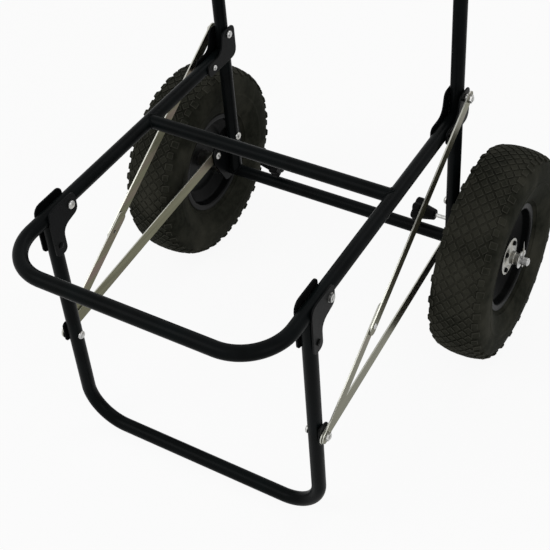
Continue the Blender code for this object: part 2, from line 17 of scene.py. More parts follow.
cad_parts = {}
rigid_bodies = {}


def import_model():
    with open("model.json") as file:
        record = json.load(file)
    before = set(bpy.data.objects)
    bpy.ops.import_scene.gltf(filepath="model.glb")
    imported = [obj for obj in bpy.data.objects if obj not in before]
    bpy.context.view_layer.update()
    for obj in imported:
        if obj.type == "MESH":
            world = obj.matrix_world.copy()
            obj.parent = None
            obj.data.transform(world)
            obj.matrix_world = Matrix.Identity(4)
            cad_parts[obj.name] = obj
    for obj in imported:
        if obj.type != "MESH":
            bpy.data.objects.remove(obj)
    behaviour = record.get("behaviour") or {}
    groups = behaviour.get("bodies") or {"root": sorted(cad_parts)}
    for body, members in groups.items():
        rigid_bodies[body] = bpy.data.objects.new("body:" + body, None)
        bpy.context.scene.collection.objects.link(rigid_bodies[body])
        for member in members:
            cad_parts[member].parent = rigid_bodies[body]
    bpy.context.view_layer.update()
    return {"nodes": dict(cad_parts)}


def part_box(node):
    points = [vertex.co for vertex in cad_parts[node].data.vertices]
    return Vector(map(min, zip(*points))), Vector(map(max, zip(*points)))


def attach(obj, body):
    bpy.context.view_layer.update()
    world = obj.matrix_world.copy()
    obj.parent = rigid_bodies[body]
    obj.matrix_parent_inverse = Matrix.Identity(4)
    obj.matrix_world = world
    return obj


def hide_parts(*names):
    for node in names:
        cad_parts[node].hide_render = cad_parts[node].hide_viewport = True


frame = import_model()

log = logging.getLogger("game_cart")
logging.basicConfig(level=logging.INFO, format="%(name)s: %(message)s")

# The face attribute that marks where a paler painted highlight goes.
PAINTED_EDGE_HIGHLIGHT = "cut_edge"
PHOTO_PX = 550.0
MERGE_REACH = 1e-6
COPY_MERGE_REACH = 2e-6
FLAT_ANGLE = math.radians(0.5)  # faces that meet at less are one flat face
CORNER_ANGLE = math.radians(50)  # edges past this are eased
FLAT_FACE = 0.9  # the least share of X in the normal of a bar's flat
END_EASE = 0.06  # the share of a bar's radius that its rounded end takes
CORNER_SHARE = 0.45  # the most of a run that one rounded corner takes
MIX_FACTOR, MIX_UNDER, MIX_OVER, MIX_RESULT = 0, 6, 7, 2  # a Mix node's sockets for colours

Point = tuple[float, float, float]
Colour = tuple[float, float, float]
Pair = tuple[float, float]

ACROSS = Vector((1.0, 0.0, 0.0)).freeze()
ALONG = Vector((0.0, 1.0, 0.0)).freeze()
UPWARD = Vector((0.0, 0.0, 1.0)).freeze()


class Side(Enum):
    """The two sides of the cart, with the sign of X on each."""

    LEFT = -1
    RIGHT = 1

    @property
    def word(self) -> str:
        """The word that starts this side's piece names."""
        return self.name.lower()


class Pattern(Enum):
    """How the colour of a finish varies over the surface."""

    SPECKLE = "speckle"
    CLOUD = "cloud"
    BRUSHED = "brushed"


@dataclass(frozen=True)
class Finish:
    """One procedural finish: two colours mixed by a pattern, a roughness range and a fine bump."""

    name: str
    slot: str
    dark: Colour
    light: Colour
    rough_low: float
    rough_high: float
    metallic: float = 0.0
    pattern: Pattern = Pattern.CLOUD
    scale: float = 40.0
    grain: float = 900.0
    bump: float = 0.08
    bump_depth: float = 0.0006
    tint: Optional[Colour] = None
    tint_scale: float = 9.0
    gloss: float = 0.5
    dust: Optional[Colour] = None
    # the paler colour of a painted highlight on faces with the edge mark
    edge: Optional[Colour] = None

    BROAD_DETAIL: ClassVar[float] = 6.0
    BROAD_SPAN: ClassVar[Pair] = (0.35, 0.70)
    TINT_DETAIL: ClassVar[float] = 2.0
    TINT_SPAN: ClassVar[Pair] = (0.48, 0.72)
    DUST_DETAIL: ClassVar[float] = 8.0
    DUST_SPAN: ClassVar[Pair] = (0.46, 0.74)
    GRAIN_DETAIL: ClassVar[float] = 3.0
    NOISE_ROUGH: ClassVar[float] = 0.6
    PATCH_COVER: ClassVar[float] = 0.7
    STRETCH: ClassVar[dict[Pattern, Point]] = {
        Pattern.SPECKLE: (2.0, 2.0, 2.0),
        Pattern.CLOUD: (1.0, 1.0, 1.0),
        Pattern.BRUSHED: (3.0, 0.12, 3.0),
    }

    def material(self) -> bpy.types.Material:
        """The finish's material, made on first use.

        Returns:
            The node material, shared by all the pieces with this finish.
        """
        found = bpy.data.materials.get(self.name)
        if found:
            return found
        made = bpy.data.materials.new(self.name)
        made.use_nodes = True
        tree = made.node_tree
        shader = tree.nodes["Principled BSDF"]
        shader.inputs["Metallic"].default_value = self.metallic
        shader.inputs["Specular IOR Level"].default_value = self.gloss
        place = self._coordinates(tree)
        broad = self._noise(tree, place, self.scale, self.BROAD_DETAIL)
        mix = self._blend(tree, broad, (self.dark, self.light), self.BROAD_SPAN)
        for colour, detail, span in (
            (self.tint, self.TINT_DETAIL, self.TINT_SPAN), (self.dust, self.DUST_DETAIL, self.DUST_SPAN)
        ):
            if colour:
                patches = self._noise(tree, place, self.tint_scale, detail)
                cover = self._blend(tree, patches, ((0.0,) * 3, (self.PATCH_COVER,) * 3), span)
                mix = self._mixed(tree, mix, cover, colour)
        # Painted highlight: the marked faces take the paler edge colour.
        if self.edge:
            highlight_mask = tree.nodes.new("ShaderNodeAttribute")
            highlight_mask.attribute_name = PAINTED_EDGE_HIGHLIGHT
            mix = self._mixed(tree, mix, highlight_mask.outputs["Fac"], self.edge)
        tree.links.new(mix, shader.inputs["Base Color"])
        polish = tree.nodes.new("ShaderNodeMapRange")
        polish.inputs["To Min"].default_value = self.rough_low
        polish.inputs["To Max"].default_value = self.rough_high
        tree.links.new(broad, polish.inputs["Value"])
        tree.links.new(polish.outputs["Result"], shader.inputs["Roughness"])
        fine = self._noise(tree, place, self.grain, self.GRAIN_DETAIL)
        bump = tree.nodes.new("ShaderNodeBump")
        bump.inputs["Strength"].default_value = self.bump
        bump.inputs["Distance"].default_value = self.bump_depth
        tree.links.new(fine, bump.inputs["Height"])
        tree.links.new(bump.outputs["Normal"], shader.inputs["Normal"])
        made.diffuse_color = (*self.light, 1.0)
        return made

    def _coordinates(self, tree: bpy.types.NodeTree) -> bpy.types.NodeSocket:
        """Object coordinates, stretched as the pattern asks.

        Args:
            tree: the material's tree.

        Returns:
            The coordinates.
        """
        coords = tree.nodes.new("ShaderNodeTexCoord")
        mapping = tree.nodes.new("ShaderNodeMapping")
        mapping.inputs["Scale"].default_value = self.STRETCH[self.pattern]
        tree.links.new(coords.outputs["Object"], mapping.inputs["Vector"])
        return mapping.outputs["Vector"]

    @classmethod
    def _noise(
        cls, tree: bpy.types.NodeTree, place: bpy.types.NodeSocket, scale: float, detail: float
    ) -> bpy.types.NodeSocket:
        """A noise field at one scale.

        Args:
            tree: the material's tree.
            place: the coordinates that it reads.
            scale: how fine it is.
            detail: how many finer layers it has.

        Returns:
            The field's factor.
        """
        noise = tree.nodes.new("ShaderNodeTexNoise")
        noise.inputs["Scale"].default_value = scale
        noise.inputs["Detail"].default_value = detail
        noise.inputs["Roughness"].default_value = cls.NOISE_ROUGH
        tree.links.new(place, noise.inputs["Vector"])
        return noise.outputs["Fac"]

    @staticmethod
    def _blend(
        tree: bpy.types.NodeTree, factor: bpy.types.NodeSocket, colours: tuple[Colour, Colour], span: Pair
    ) -> bpy.types.NodeSocket:
        """A colour that runs from one to another over a span of a factor.

        Args:
            tree: the material's tree.
            factor: the field that drives it.
            colours: the colours below and above the span.
            span: where the run starts and ends.

        Returns:
            The colour.
        """
        ramp = tree.nodes.new("ShaderNodeValToRGB")
        for stop, colour, place in zip(ramp.color_ramp.elements, colours, span):
            stop.position = place
            stop.color = (*colour, 1.0)
        tree.links.new(factor, ramp.inputs["Fac"])
        return ramp.outputs["Color"]

    @staticmethod
    def _mixed(
        tree: bpy.types.NodeTree, under: bpy.types.NodeSocket, mask: bpy.types.NodeSocket, colour: Colour
    ) -> bpy.types.NodeSocket:
        """Mixes a colour over another by a mask.

        Args:
            tree: the material's tree.
            under: the colour below.
            mask: how much of it is covered.
            colour: the colour above.

        Returns:
            The mixed colour.
        """
        mix = tree.nodes.new("ShaderNodeMix")
        mix.data_type = "RGBA"
        tree.links.new(mask, mix.inputs[MIX_FACTOR])
        tree.links.new(under, mix.inputs[MIX_UNDER])
        mix.inputs[MIX_OVER].default_value = (*colour, 1.0)
        return mix.outputs[MIX_RESULT]


POWDER_BLACK = Finish(
    "powder_black", "black_tube", (0.0021, 0.0026, 0.0027), (0.0040, 0.0050, 0.0053), 0.28, 0.42,
    scale=30.0, grain=1400.0, bump=0.10, bump_depth=0.0004, tint=(0.0034, 0.0054, 0.0058), gloss=0.034,
)
PLATE_BLACK = Finish(
    "plate_black", "black_plate", (0.0024, 0.0028, 0.0030), (0.0052, 0.0057, 0.0062), 0.30, 0.48,
    scale=34.0, grain=1200.0, bump=0.12, bump_depth=0.0004, tint=(0.0064, 0.0066, 0.0064), gloss=0.036,
)
# The edge colour is a painted highlight on the bars' narrow faces.
ZINC_YELLOW = Finish(
    "zinc_yellow", "yellow_zinc", (0.106, 0.104, 0.062), (0.164, 0.161, 0.100), 0.26, 0.42,
    metallic=1.0, pattern=Pattern.BRUSHED, scale=60.0, grain=700.0, bump=0.08,
    tint=(0.172, 0.116, 0.108), tint_scale=16.0, edge=(0.48, 0.48, 0.43),
)
ZINC_BRIGHT = Finish(
    "zinc_bright", "bright_zinc", (0.36, 0.36, 0.35), (0.58, 0.58, 0.57), 0.22, 0.40,
    metallic=1.0, scale=120.0, grain=1500.0, bump=0.06, tint=(0.46, 0.44, 0.38), tint_scale=60.0,
)
HUB_ZINC = Finish(
    "zinc_hub", "hub_zinc", (0.26, 0.26, 0.24), (0.46, 0.46, 0.43), 0.26, 0.46,
    metallic=1.0, scale=90.0, grain=1200.0, bump=0.08, tint=(0.34, 0.31, 0.23), tint_scale=40.0,
)
KNOB_BLACK = Finish(
    "knob_black", "black_plastic", (0.0022, 0.0022, 0.0024), (0.0046, 0.0046, 0.0048), 0.40, 0.60,
    scale=70.0, grain=2200.0, bump=0.20, bump_depth=0.0003, gloss=0.05,
)
GRIP_FOAM = Finish(
    "foam_black", "grip_foam", (0.0055, 0.0055, 0.0058), (0.0150, 0.0150, 0.0154), 0.82, 0.96,
    pattern=Pattern.SPECKLE, scale=500.0, grain=700.0, bump=0.55, bump_depth=0.0012, gloss=0.10,
)
VALVE_RUBBER = Finish(
    "valve_black", "valve_rubber", (0.006, 0.006, 0.006), (0.014, 0.014, 0.013), 0.6, 0.8, scale=90.0,
    gloss=0.10,
)
# The edge colour is a painted highlight on the tread blocks' eased top edges.
TYRE_RUBBER = Finish(
    "tyre_black", "tyre_rubber", (0.0110, 0.0116, 0.0084), (0.0240, 0.0250, 0.0188), 0.70, 0.92,
    scale=70.0, grain=520.0, bump=0.35, bump_depth=0.0010, tint=(0.0310, 0.0314, 0.0236),
    tint_scale=11.0, gloss=0.03, dust=(0.0520, 0.0508, 0.0394), edge=(0.050, 0.049, 0.040),
)
RIM_PAINT = Finish(
    "rim_black", "rim_paint", (0.0026, 0.0029, 0.0030), (0.0056, 0.0061, 0.0062), 0.28, 0.46,
    scale=26.0, grain=900.0, bump=0.08, tint=(0.0080, 0.0082, 0.0076), tint_scale=18.0, gloss=0.05,
)


def shown(name: str, data: bpy.types.ID) -> bpy.types.Object:
    """Puts a new object with some data in the scene.

    Args:
        name: the object's name.
        data: its mesh, lamp or camera.

    Returns:
        The new object.
    """
    made = bpy.data.objects.new(name, data)
    bpy.context.scene.collection.objects.link(made)
    return made


def add_mesh(name: str, shape: bmesh.types.BMesh, finish: Finish, sharp: float = 35.0) -> bpy.types.Object:
    """Links a bmesh as a finished object at the origin.

    Args:
        name: the piece's name.
        shape: the mesh, which is freed.
        finish: the finish that it takes.
        sharp: the angle in degrees past which an edge stays sharp.

    Returns:
        The new object.
    """
    bmesh.ops.remove_doubles(shape, verts=shape.verts, dist=MERGE_REACH)
    bmesh.ops.recalc_face_normals(shape, faces=shape.faces)
    mesh = bpy.data.meshes.new(name)
    shape.to_mesh(mesh)
    shape.free()
    mesh.shade_smooth()
    mesh.set_sharp_from_angle(angle=math.radians(sharp))
    mesh.materials.append(finish.material())
    return shown(name, mesh)


def settle(piece: bpy.types.Object) -> None:
    """Turns a piece's modifiers into its plain mesh.

    Args:
        piece: the object, whose old mesh is removed.
    """
    bpy.context.view_layer.update()
    graph = bpy.context.evaluated_depsgraph_get()
    plain = bpy.data.meshes.new_from_object(piece.evaluated_get(graph))
    piece.modifiers.clear()
    old = piece.data
    piece.data = plain
    plain.name = piece.name
    bpy.data.meshes.remove(old)


def enlist(piece: bpy.types.Object, body: str, finish: Finish, *nodes: str) -> None:
    """Hands a finished piece to the frame.

    Args:
        piece: the finished object.
        body: the body that it rides on.
        finish: its finish; not used.
        nodes: the CAD nodes that it stands for.
    """
    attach(piece, body)
    if nodes:
        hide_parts(*nodes)
    log.info("%s on %s, %d faces", piece.name, body, len(piece.data.polygons))


def arc_corner(before: Vector, corner: Vector, after: Vector, radius: float, steps: int) -> list[Vector]:
    """The points of a round bend between two straight runs.

    Args:
        before: a point on the run that comes in.
        corner: where the two runs would meet.
        after: a point on the run that goes out.
        radius: the bend's centre-line radius.
        steps: the number of segments.

    Returns:
        The bend's points, from run to run.
    """
    come = (before - corner).normalized()
    go = (after - corner).normalized()
    half = come.angle(go) / 2
    centre = corner + (come + go).normalized() * radius / math.sin(half)
    first = corner + come * radius / math.tan(half) - centre
    last = corner + go * radius / math.tan(half) - centre
    turn = first.rotation_difference(last)
    return [centre + Quaternion().slerp(turn, i / steps) @ first for i in range(steps + 1)]


def skin(
    shape: bmesh.types.BMesh, rings: Sequence[Sequence[bmesh.types.BMVert]], looped: bool = False
) -> None:
    """Covers a row of rings with faces, with a cap at both ends unless the row closes on itself.

    Args:
        shape: the mesh that holds the rings.
        rings: the rings, all with the same number of points.
        looped: whether the last ring joins the first.
    """
    for one, two in zip(rings, [*rings[1:], rings[0]] if looped else rings[1:]):
        for i, corner in enumerate(one):
            j = (i + 1) % len(one)
            shape.faces.new((corner, one[j], two[j], two[i]))
    if not looped:
        shape.faces.new(rings[0])
        shape.faces.new(rings[-1])


def swept(
    name: str, path: Sequence[Vector], normal: Vector, radius: float, finish: Finish, sides: int = 40
) -> bpy.types.Object:
    """A round bar along a flat path with slightly rounded ends.

    Args:
        name: the piece's name.
        path: centre-line points.
        normal: the normal of the path's plane.
        radius: the bar's radius.
        finish: its finish.
        sides: points around the section.

    Returns:
        The new object.
    """
    shape = bmesh.new()
    rings = []
    angles = [math.tau * k / sides for k in range(sides)]
    last = len(path) - 1
    stations = [(0, 1.0 - END_EASE), *((i, 1.0) for i in range(len(path))), (last, 1.0 - END_EASE)]
    shifts = {
        1: (path[1] - path[0]).normalized() * radius * END_EASE,
        len(stations) - 2: (path[-2] - path[-1]).normalized() * radius * END_EASE,
    }
    for order, (i, grow) in enumerate(stations):
        come = (path[max(i, 1)] - path[max(i, 1) - 1]).normalized()
        go = (path[i + 1] - path[i]).normalized() if i < last else come
        across = normal.cross((come + go).normalized())
        spot = path[i] + shifts.get(order, Vector())
        tall = radius * grow
        wide = tall / math.cos(come.angle(go) / 2)
        rings.append([
            shape.verts.new(spot + across * wide * math.cos(angle) + normal * tall * math.sin(angle))
            for angle in angles
        ])
    skin(shape, rings)
    return add_mesh(name, shape, finish)


def turned(
    name: str,
    rows: Sequence[Pair],
    centre: Vector,
    finish: Finish,
    sides: int = 64,
    ring: bool = False,
    section: Optional[Callable[[float, float], float]] = None,
    sharp: float = 35.0,
) -> bpy.types.Object:
    """A piece turned about the X axis through a centre.

    Args:
        name: the piece's name.
        rows: (x, radius) along the profile.
        centre: a point of the axis, of which y and z are used.
        finish: its finish.
        sides: points around the axis.
        ring: whether the profile closes on itself around a bore.
        section: a factor on the radius by (x, angle), for lobes.
        sharp: the angle past which an edge stays sharp.

    Returns:
        The new object.
    """
    shape = bmesh.new()
    rings = []
    for x, radius in rows:
        circle = []
        for k in range(sides):
            angle = math.tau * k / sides
            grown = radius * (section(x, angle) if section else 1.0)
            spot = (x, centre.y + grown * math.cos(angle), centre.z + grown * math.sin(angle))
            circle.append(shape.verts.new(spot))
        rings.append(circle)
    skin(shape, rings, ring)
    return add_mesh(name, shape, finish, sharp)


def eased_copy(node: str, name: str, finish: Finish, width: float) -> bpy.types.Object:
    """A copy of a CAD node with clean flat faces and eased edges.

    Args:
        node: the CAD node to copy.
        name: the new piece's name.
        finish: its finish.
        width: the width of the eased edge.

    Returns:
        The new object, as a plain mesh.
    """
    shape = bmesh.new()
    shape.from_mesh(frame["nodes"][node].data)
    bmesh.ops.remove_doubles(shape, verts=shape.verts, dist=COPY_MERGE_REACH)
    bmesh.ops.dissolve_limit(shape, angle_limit=FLAT_ANGLE, verts=shape.verts, edges=shape.edges)
    piece = add_mesh(name, shape, finish, sharp=40.0)
    bevel = piece.modifiers.new("eased", "BEVEL")
    bevel.width = width
    bevel.segments = 2
    bevel.limit_method = "ANGLE"
    bevel.angle_limit = CORNER_ANGLE
    bevel.harden_normals = False
    settle(piece)
    return piece


class NodeTree:
    """A small builder for a Geometry Nodes tree with named inputs."""

    def __init__(self, name: str) -> None:
        """Starts a tree with a geometry input and output.

        Args:
            name: the tree's name.
        """
        self.tree = bpy.data.node_groups.new(name, "GeometryNodeTree")
        for way in ("INPUT", "OUTPUT"):
            self.tree.interface.new_socket("Geometry", in_out=way, socket_type="NodeSocketGeometry")
        self.ids: dict[str, str] = {}
        self.source = self.tree.nodes.new("NodeGroupInput")
        self.target = self.tree.nodes.new("NodeGroupOutput")

    def size(self, name: str, value: float) -> None:
        """Adds a named float input.

        Args:
            name: the input's name.
            value: its default.
        """
        socket = self.tree.interface.new_socket(name, in_out="INPUT", socket_type="NodeSocketFloat")
        socket.default_value = value
        self.ids[name] = socket.identifier

    def node(self, kind: str, **values: object) -> bpy.types.Node:
        """Adds a node.

        Args:
            kind: the node's type.
            values: plain properties to set on it.

        Returns:
            The new node.
        """
        made = self.tree.nodes.new(kind)
        for key, value in values.items():
            setattr(made, key, value)
        return made

    def link(self, out: bpy.types.NodeSocket, into: bpy.types.NodeSocket) -> None:
        """Joins two sockets."""
        self.tree.links.new(out, into)

    def vector(self, name: str) -> bpy.types.NodeSocket:
        """Reads a vector attribute of the points.

        Args:
            name: the attribute's name.

        Returns:
            Its field.
        """
        named = self.node("GeometryNodeInputNamedAttribute", data_type="FLOAT_VECTOR")
        named.inputs["Name"].default_value = name
        return named.outputs["Attribute"]

    def facing(self, up: str, along: str) -> bpy.types.NodeSocket:
        """A rotation that turns Z to one attribute and X towards another.

        Args:
            up: the attribute that Z takes.
            along: the attribute that X leans to.

        Returns:
            The rotation's field.
        """
        stand = self.node("FunctionNodeAlignRotationToVector", axis="Z")
        self.link(self.vector(up), stand.inputs["Vector"])
        turn = self.node("FunctionNodeAlignRotationToVector", axis="X", pivot_axis="Z")
        self.link(stand.outputs["Rotation"], turn.inputs["Rotation"])
        self.link(self.vector(along), turn.inputs["Vector"])
        return turn.outputs["Rotation"]

    def times(self, value: bpy.types.NodeSocket, factor: float) -> bpy.types.NodeSocket:
        """A value times a fixed factor.

        Args:
            value: the value.
            factor: the factor.

        Returns:
            The product.
        """
        product = self.node("ShaderNodeMath", operation="MULTIPLY")
        product.inputs[1].default_value = factor
        self.link(value, product.inputs[0])
        return product.outputs["Value"]

    def scatter(self, shape: bpy.types.NodeSocket, material: bpy.types.Material) -> None:
        """Ends the tree: the shape on every point, realised and painted.

        Args:
            shape: the geometry that is repeated.
            material: what it is painted with.
        """
        place = self.node("GeometryNodeInstanceOnPoints")
        self.link(self.source.outputs["Geometry"], place.inputs["Points"])
        self.link(shape, place.inputs["Instance"])
        self.link(self.facing("stand", "along"), place.inputs["Rotation"])
        self.link(self.vector("spread"), place.inputs["Scale"])
        real = self.node("GeometryNodeRealizeInstances")
        self.link(place.outputs["Instances"], real.inputs["Geometry"])
        paint = self.node("GeometryNodeSetMaterial")
        paint.inputs["Material"].default_value = material
        self.link(real.outputs["Geometry"], paint.inputs["Geometry"])
        self.link(paint.outputs["Geometry"], self.target.inputs["Geometry"])


@dataclass(frozen=True)
class Spot:
    """One point of a scatter: where it is, what way it stands, what way it runs, and its scale."""

    at: Vector
    stand: Vector
    along: Vector
    spread: Vector = field(default_factory=lambda: Vector((1.0, 1.0, 1.0)))


def scattered(name: str, spots: Sequence[Spot], tree: NodeTree, sizes: dict[str, float]) -> bpy.types.Object:
    """Runs a scatter tree over points and keeps the result as a plain mesh.

    Args:
        name: the piece's name.
        spots: the points.
        tree: the Geometry Nodes tree.
        sizes: values of the tree's named inputs.

    Returns:
        The new object.
    """
    mesh = bpy.data.meshes.new(name)
    mesh.from_pydata([tuple(spot.at) for spot in spots], [], [])
    for key in ("stand", "along", "spread"):
        attribute = mesh.attributes.new(key, "FLOAT_VECTOR", "POINT")
        for row, spot in zip(attribute.data, spots):
            row.vector = getattr(spot, key)
    piece = shown(name, mesh)
    modifier = piece.modifiers.new("scatter", "NODES")
    modifier.node_group = tree.tree
    for key, value in sizes.items():
        modifier[tree.ids[key]] = value
    settle(piece)
    return piece


def softened(rows: Sequence[Pair], radius: float, steps: int = 4) -> list[Pair]:
    """A profile with each of its inner corners rounded.

    Args:
        rows: the profile's points.
        radius: how far the rounding reaches along each run, at most.
        steps: segments for each corner.

    Returns:
        The rounded profile, with the same first and last point.
    """
    points = [Vector(row) for row in rows]
    made = [points[0]]
    for before, corner, after in zip(points, points[1:], points[2:]):
        come, go = before - corner, after - corner
        reach = min(radius, come.length * CORNER_SHARE, go.length * CORNER_SHARE)
        first, last = corner + come.normalized() * reach, corner + go.normalized() * reach
        for i in range(steps + 1):
            t = i / steps
            made.append(first * (1 - t) ** 2 + corner * 2 * t * (1 - t) + last * t ** 2)
    made.append(points[-1])
    return [(point.x, point.y) for point in made]


def flowing(rows: Sequence[Pair], steps: int) -> list[Pair]:
    """A smooth curve through a profile's points.

    Args:
        rows: the points that the curve passes.
        steps: segments between two of them.

    Returns:
        The curve's points.
    """
    points = [Vector(row) for row in rows]
    padded = [points[0] * 2 - points[1]] + points + [points[-1] * 2 - points[-2]]
    made = []
    for a, b, c, d in zip(padded, padded[1:], padded[2:], padded[3:]):
        for i in range(steps):
            t = i / steps
            bend = (a * 2 - b * 5 + c * 4 - d) * t ** 2 + (b * 3 - a - c * 3 + d) * t ** 3
            made.append((b * 2 + (c - a) * t + bend) / 2)
    made.append(points[-1])
    return [(point.x, point.y) for point in made]


@dataclass(frozen=True)
class Layout:
    """The cart's main sizes in metres, shared by its sub-assemblies."""

    tube_r: float = 0.0127
    rail_half: float = 0.246
    bed_z: float = 0.505
    front_y: float = -0.434866
    leg_y: float = -0.309866
    axle_y: float = 0.239134
    axle_z: float = 0.208
    crossbar_y: float = -0.014866
    handle_z: float = 1.080


LAYOUT = Layout()


@dataclass
class TubeFrame:
    """The bent tubes: handle, bed loop, crossbar, leg loop and axle tube."""

    layout: Layout = LAYOUT
    bed_bend: float = 0.085
    leg_bend: float = 0.075
    handle_bend: float = 0.090
    bend_steps: int = 28
    weld_sink: float = 0.008

    def build(self) -> None:
        """Makes all the tubes."""
        lay = self.layout
        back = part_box("bed_loop")[1].y
        self._loop("bed_loop_tube", "bed", "bed_loop", UPWARD, self.bed_bend, (back, lay.front_y), lay.bed_z)
        inner = lay.rail_half - lay.tube_r + self.weld_sink
        self._bar("bed_crossbar_tube", "bed", "bed_crossbar", (inner, lay.crossbar_y, lay.bed_z))
        low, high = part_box("leg_loop")
        foot = low.z + (high.y - low.y) / 2
        self._loop("leg_loop_tube", "leg", "leg_loop", ALONG, self.leg_bend, (high.z, foot), lay.leg_y)
        foot = lay.axle_z + lay.tube_r - self.weld_sink
        self._loop(
            "handle_loop_tube", "handle_frame", "handle_tube", ALONG, self.handle_bend,
            (foot, lay.handle_z), lay.axle_y,
        )
        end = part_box("axle_tube")[1].x
        self._bar("axle_cross_tube", "handle_frame", "axle_tube", (end, lay.axle_y, lay.axle_z))

    def _loop(
        self, name: str, body: str, node: str, normal: Vector, bend: float, run: Pair, level: float
    ) -> None:
        """One tube bent to a U with two round bends.

        Args:
            name: the piece's name.
            body: the body that it rides on.
            node: the CAD node that it stands for.
            normal: the normal of the U's plane.
            bend: the bends' radius.
            run: where the legs end and where the crossing run is, along the legs.
            level: where the U's plane is, along its normal.
        """
        lay = self.layout
        ends = []
        for sign, place in ((-1, run[0]), (-1, run[1]), (1, run[1]), (1, run[0])):
            spot = (place, level) if normal is UPWARD else (level, place)
            ends.append(Vector((sign * lay.rail_half, *spot)))
        path = [ends[0]]
        for i in (1, 2):
            path += arc_corner(ends[i - 1], ends[i], ends[i + 1], bend, self.bend_steps)
        tube = swept(name, path + [ends[3]], normal, lay.tube_r, POWDER_BLACK)
        enlist(tube, body, POWDER_BLACK, node)

    def _bar(self, name: str, body: str, node: str, end: Point) -> None:
        """One straight tube from side to side.

        Args:
            name: the piece's name.
            body: the body that it rides on.
            node: the CAD node that it stands for.
            end: its right-hand end.
        """
        path = [Vector((share * end[0], *end[1:])) for share in (-1, 0, 1)]
        enlist(swept(name, path, UPWARD, self.layout.tube_r, POWDER_BLACK), body, POWDER_BLACK, node)


@dataclass
class WeldSeams:
    """The painted weld beads where one tube runs square into another."""

    layout: Layout = LAYOUT
    bead: float = 0.0021
    pitch: float = 0.0019
    proud: float = 0.0002
    flatten: Point = (0.62, 1.0, 0.72)
    saddle_length: float = 1.22
    fine_steps: int = 8

    def build(self) -> None:
        """Makes the crossbar's beads and those at the uprights' feet."""
        lay = self.layout
        tree = self._tree()
        crossbar = []
        feet = []
        for side in Side:
            sign = side.value
            hub = Vector((sign * lay.rail_half, lay.crossbar_y, lay.bed_z))
            crossbar += self._seam(hub, ACROSS * -sign, ALONG)
            hub = Vector((sign * lay.rail_half, lay.axle_y, lay.axle_z))
            feet += self._seam(hub, UPWARD, ACROSS)
        for name, spots, body in (
            ("crossbar_welds", crossbar, "bed"), ("upright_welds", feet, "handle_frame")
        ):
            piece = scattered(name, spots, tree, {"Bead": self.bead})
            piece.data.shade_smooth()
            enlist(piece, body, POWDER_BLACK)

    def _seam(self, hub: Vector, stub: Vector, through: Vector) -> list[Spot]:
        """The ripples of one bead.

        Args:
            hub: where the two centre lines meet.
            stub: the direction of the tube that ends there.
            through: the direction of the tube that runs through.

        Returns:
            The bead's points, evenly spaced along the saddle curve.
        """
        radius = self.layout.tube_r
        third = stub.cross(through)
        count = int(math.tau * radius * self.saddle_length / self.pitch) * self.fine_steps
        line = []
        for i in range(count):
            angle = math.tau * i / count
            out = (through * math.cos(angle) + third * math.sin(angle)) * (radius + self.proud)
            line.append(hub + out + stub * abs(math.cos(angle)) * radius)
        spots = []
        run = 0.0
        for here, there in zip(line, line[1:] + line[:1]):
            step = there - here
            run += step.length
            if run >= self.pitch:
                run -= self.pitch
                out = (here - hub).normalized()
                spots.append(Spot(here, out, step.normalized(), Vector(self.flatten)))
        return spots

    def _tree(self) -> NodeTree:
        """The tree that lays one flattened ripple on each point.

        Returns:
            The tree.
        """
        tree = NodeTree("weld_ripples")
        tree.size("Bead", self.bead)
        ball = tree.node("GeometryNodeMeshIcoSphere")
        ball.inputs["Subdivisions"].default_value = 2
        tree.link(tree.source.outputs["Bead"], ball.inputs["Radius"])
        tree.scatter(ball.outputs["Mesh"], POWDER_BLACK.material())
        return tree


@dataclass
class FlatSteel:
    """The pressed plates, ears and flat bars, with eased edges."""

    plate_edge: float = 0.0008
    bar_edge: float = 0.0007

    def build(self) -> None:
        """Dresses the plates and the braces of both sides."""
        for side in Side:
            self._plates(side)
            self._bars(side)

    def _plates(self, side: Side) -> None:
        """The black plates of one side.

        Args:
            side: the side.
        """
        places = {
            "bed": ("bed_inner_plate", "bed_outer_plate"),
            "leg": ("leg_inner_plate", "leg_outer_plate", "leg_ear"),
            "handle_frame": ("axle_plate",),
        }
        for body, stems in places.items():
            for stem in stems:
                node = f"{side.word}_{stem}"
                piece = eased_copy(node, f"{node}_steel", PLATE_BLACK, self.plate_edge)
                enlist(piece, body, PLATE_BLACK, node)

    def _bars(self, side: Side) -> None:
        """The zinc-plated flat bars of one side.

        Args:
            side: the side.
        """
        for stem in ("lower_strap", "lower_link", "upper_link"):
            node = f"{side.word}_{stem}"
            piece = eased_copy(node, f"{node}_bar", ZINC_YELLOW, self.bar_edge)
            self._mark_edges(piece.data)
            enlist(piece, node, ZINC_YELLOW, node)

    @staticmethod
    def _mark_edges(mesh: bpy.types.Mesh) -> None:
        """Marks the narrow faces of a flat bar for a painted highlight, brighter than its flats.

        Args:
            mesh: the bar's mesh.
        """
        marks = mesh.attributes.new(PAINTED_EDGE_HIGHLIGHT, "FLOAT", "FACE")
        for face, mark in zip(mesh.polygons, marks.data):
            mark.value = 1.0 if abs(face.normal.x) < FLAT_FACE else 0.0


class Fixing(Enum):
    """The kinds of fastener shape that the cart uses."""

    DOME = "dome"
    NUT = "nut"
    SPACER = "spacer"


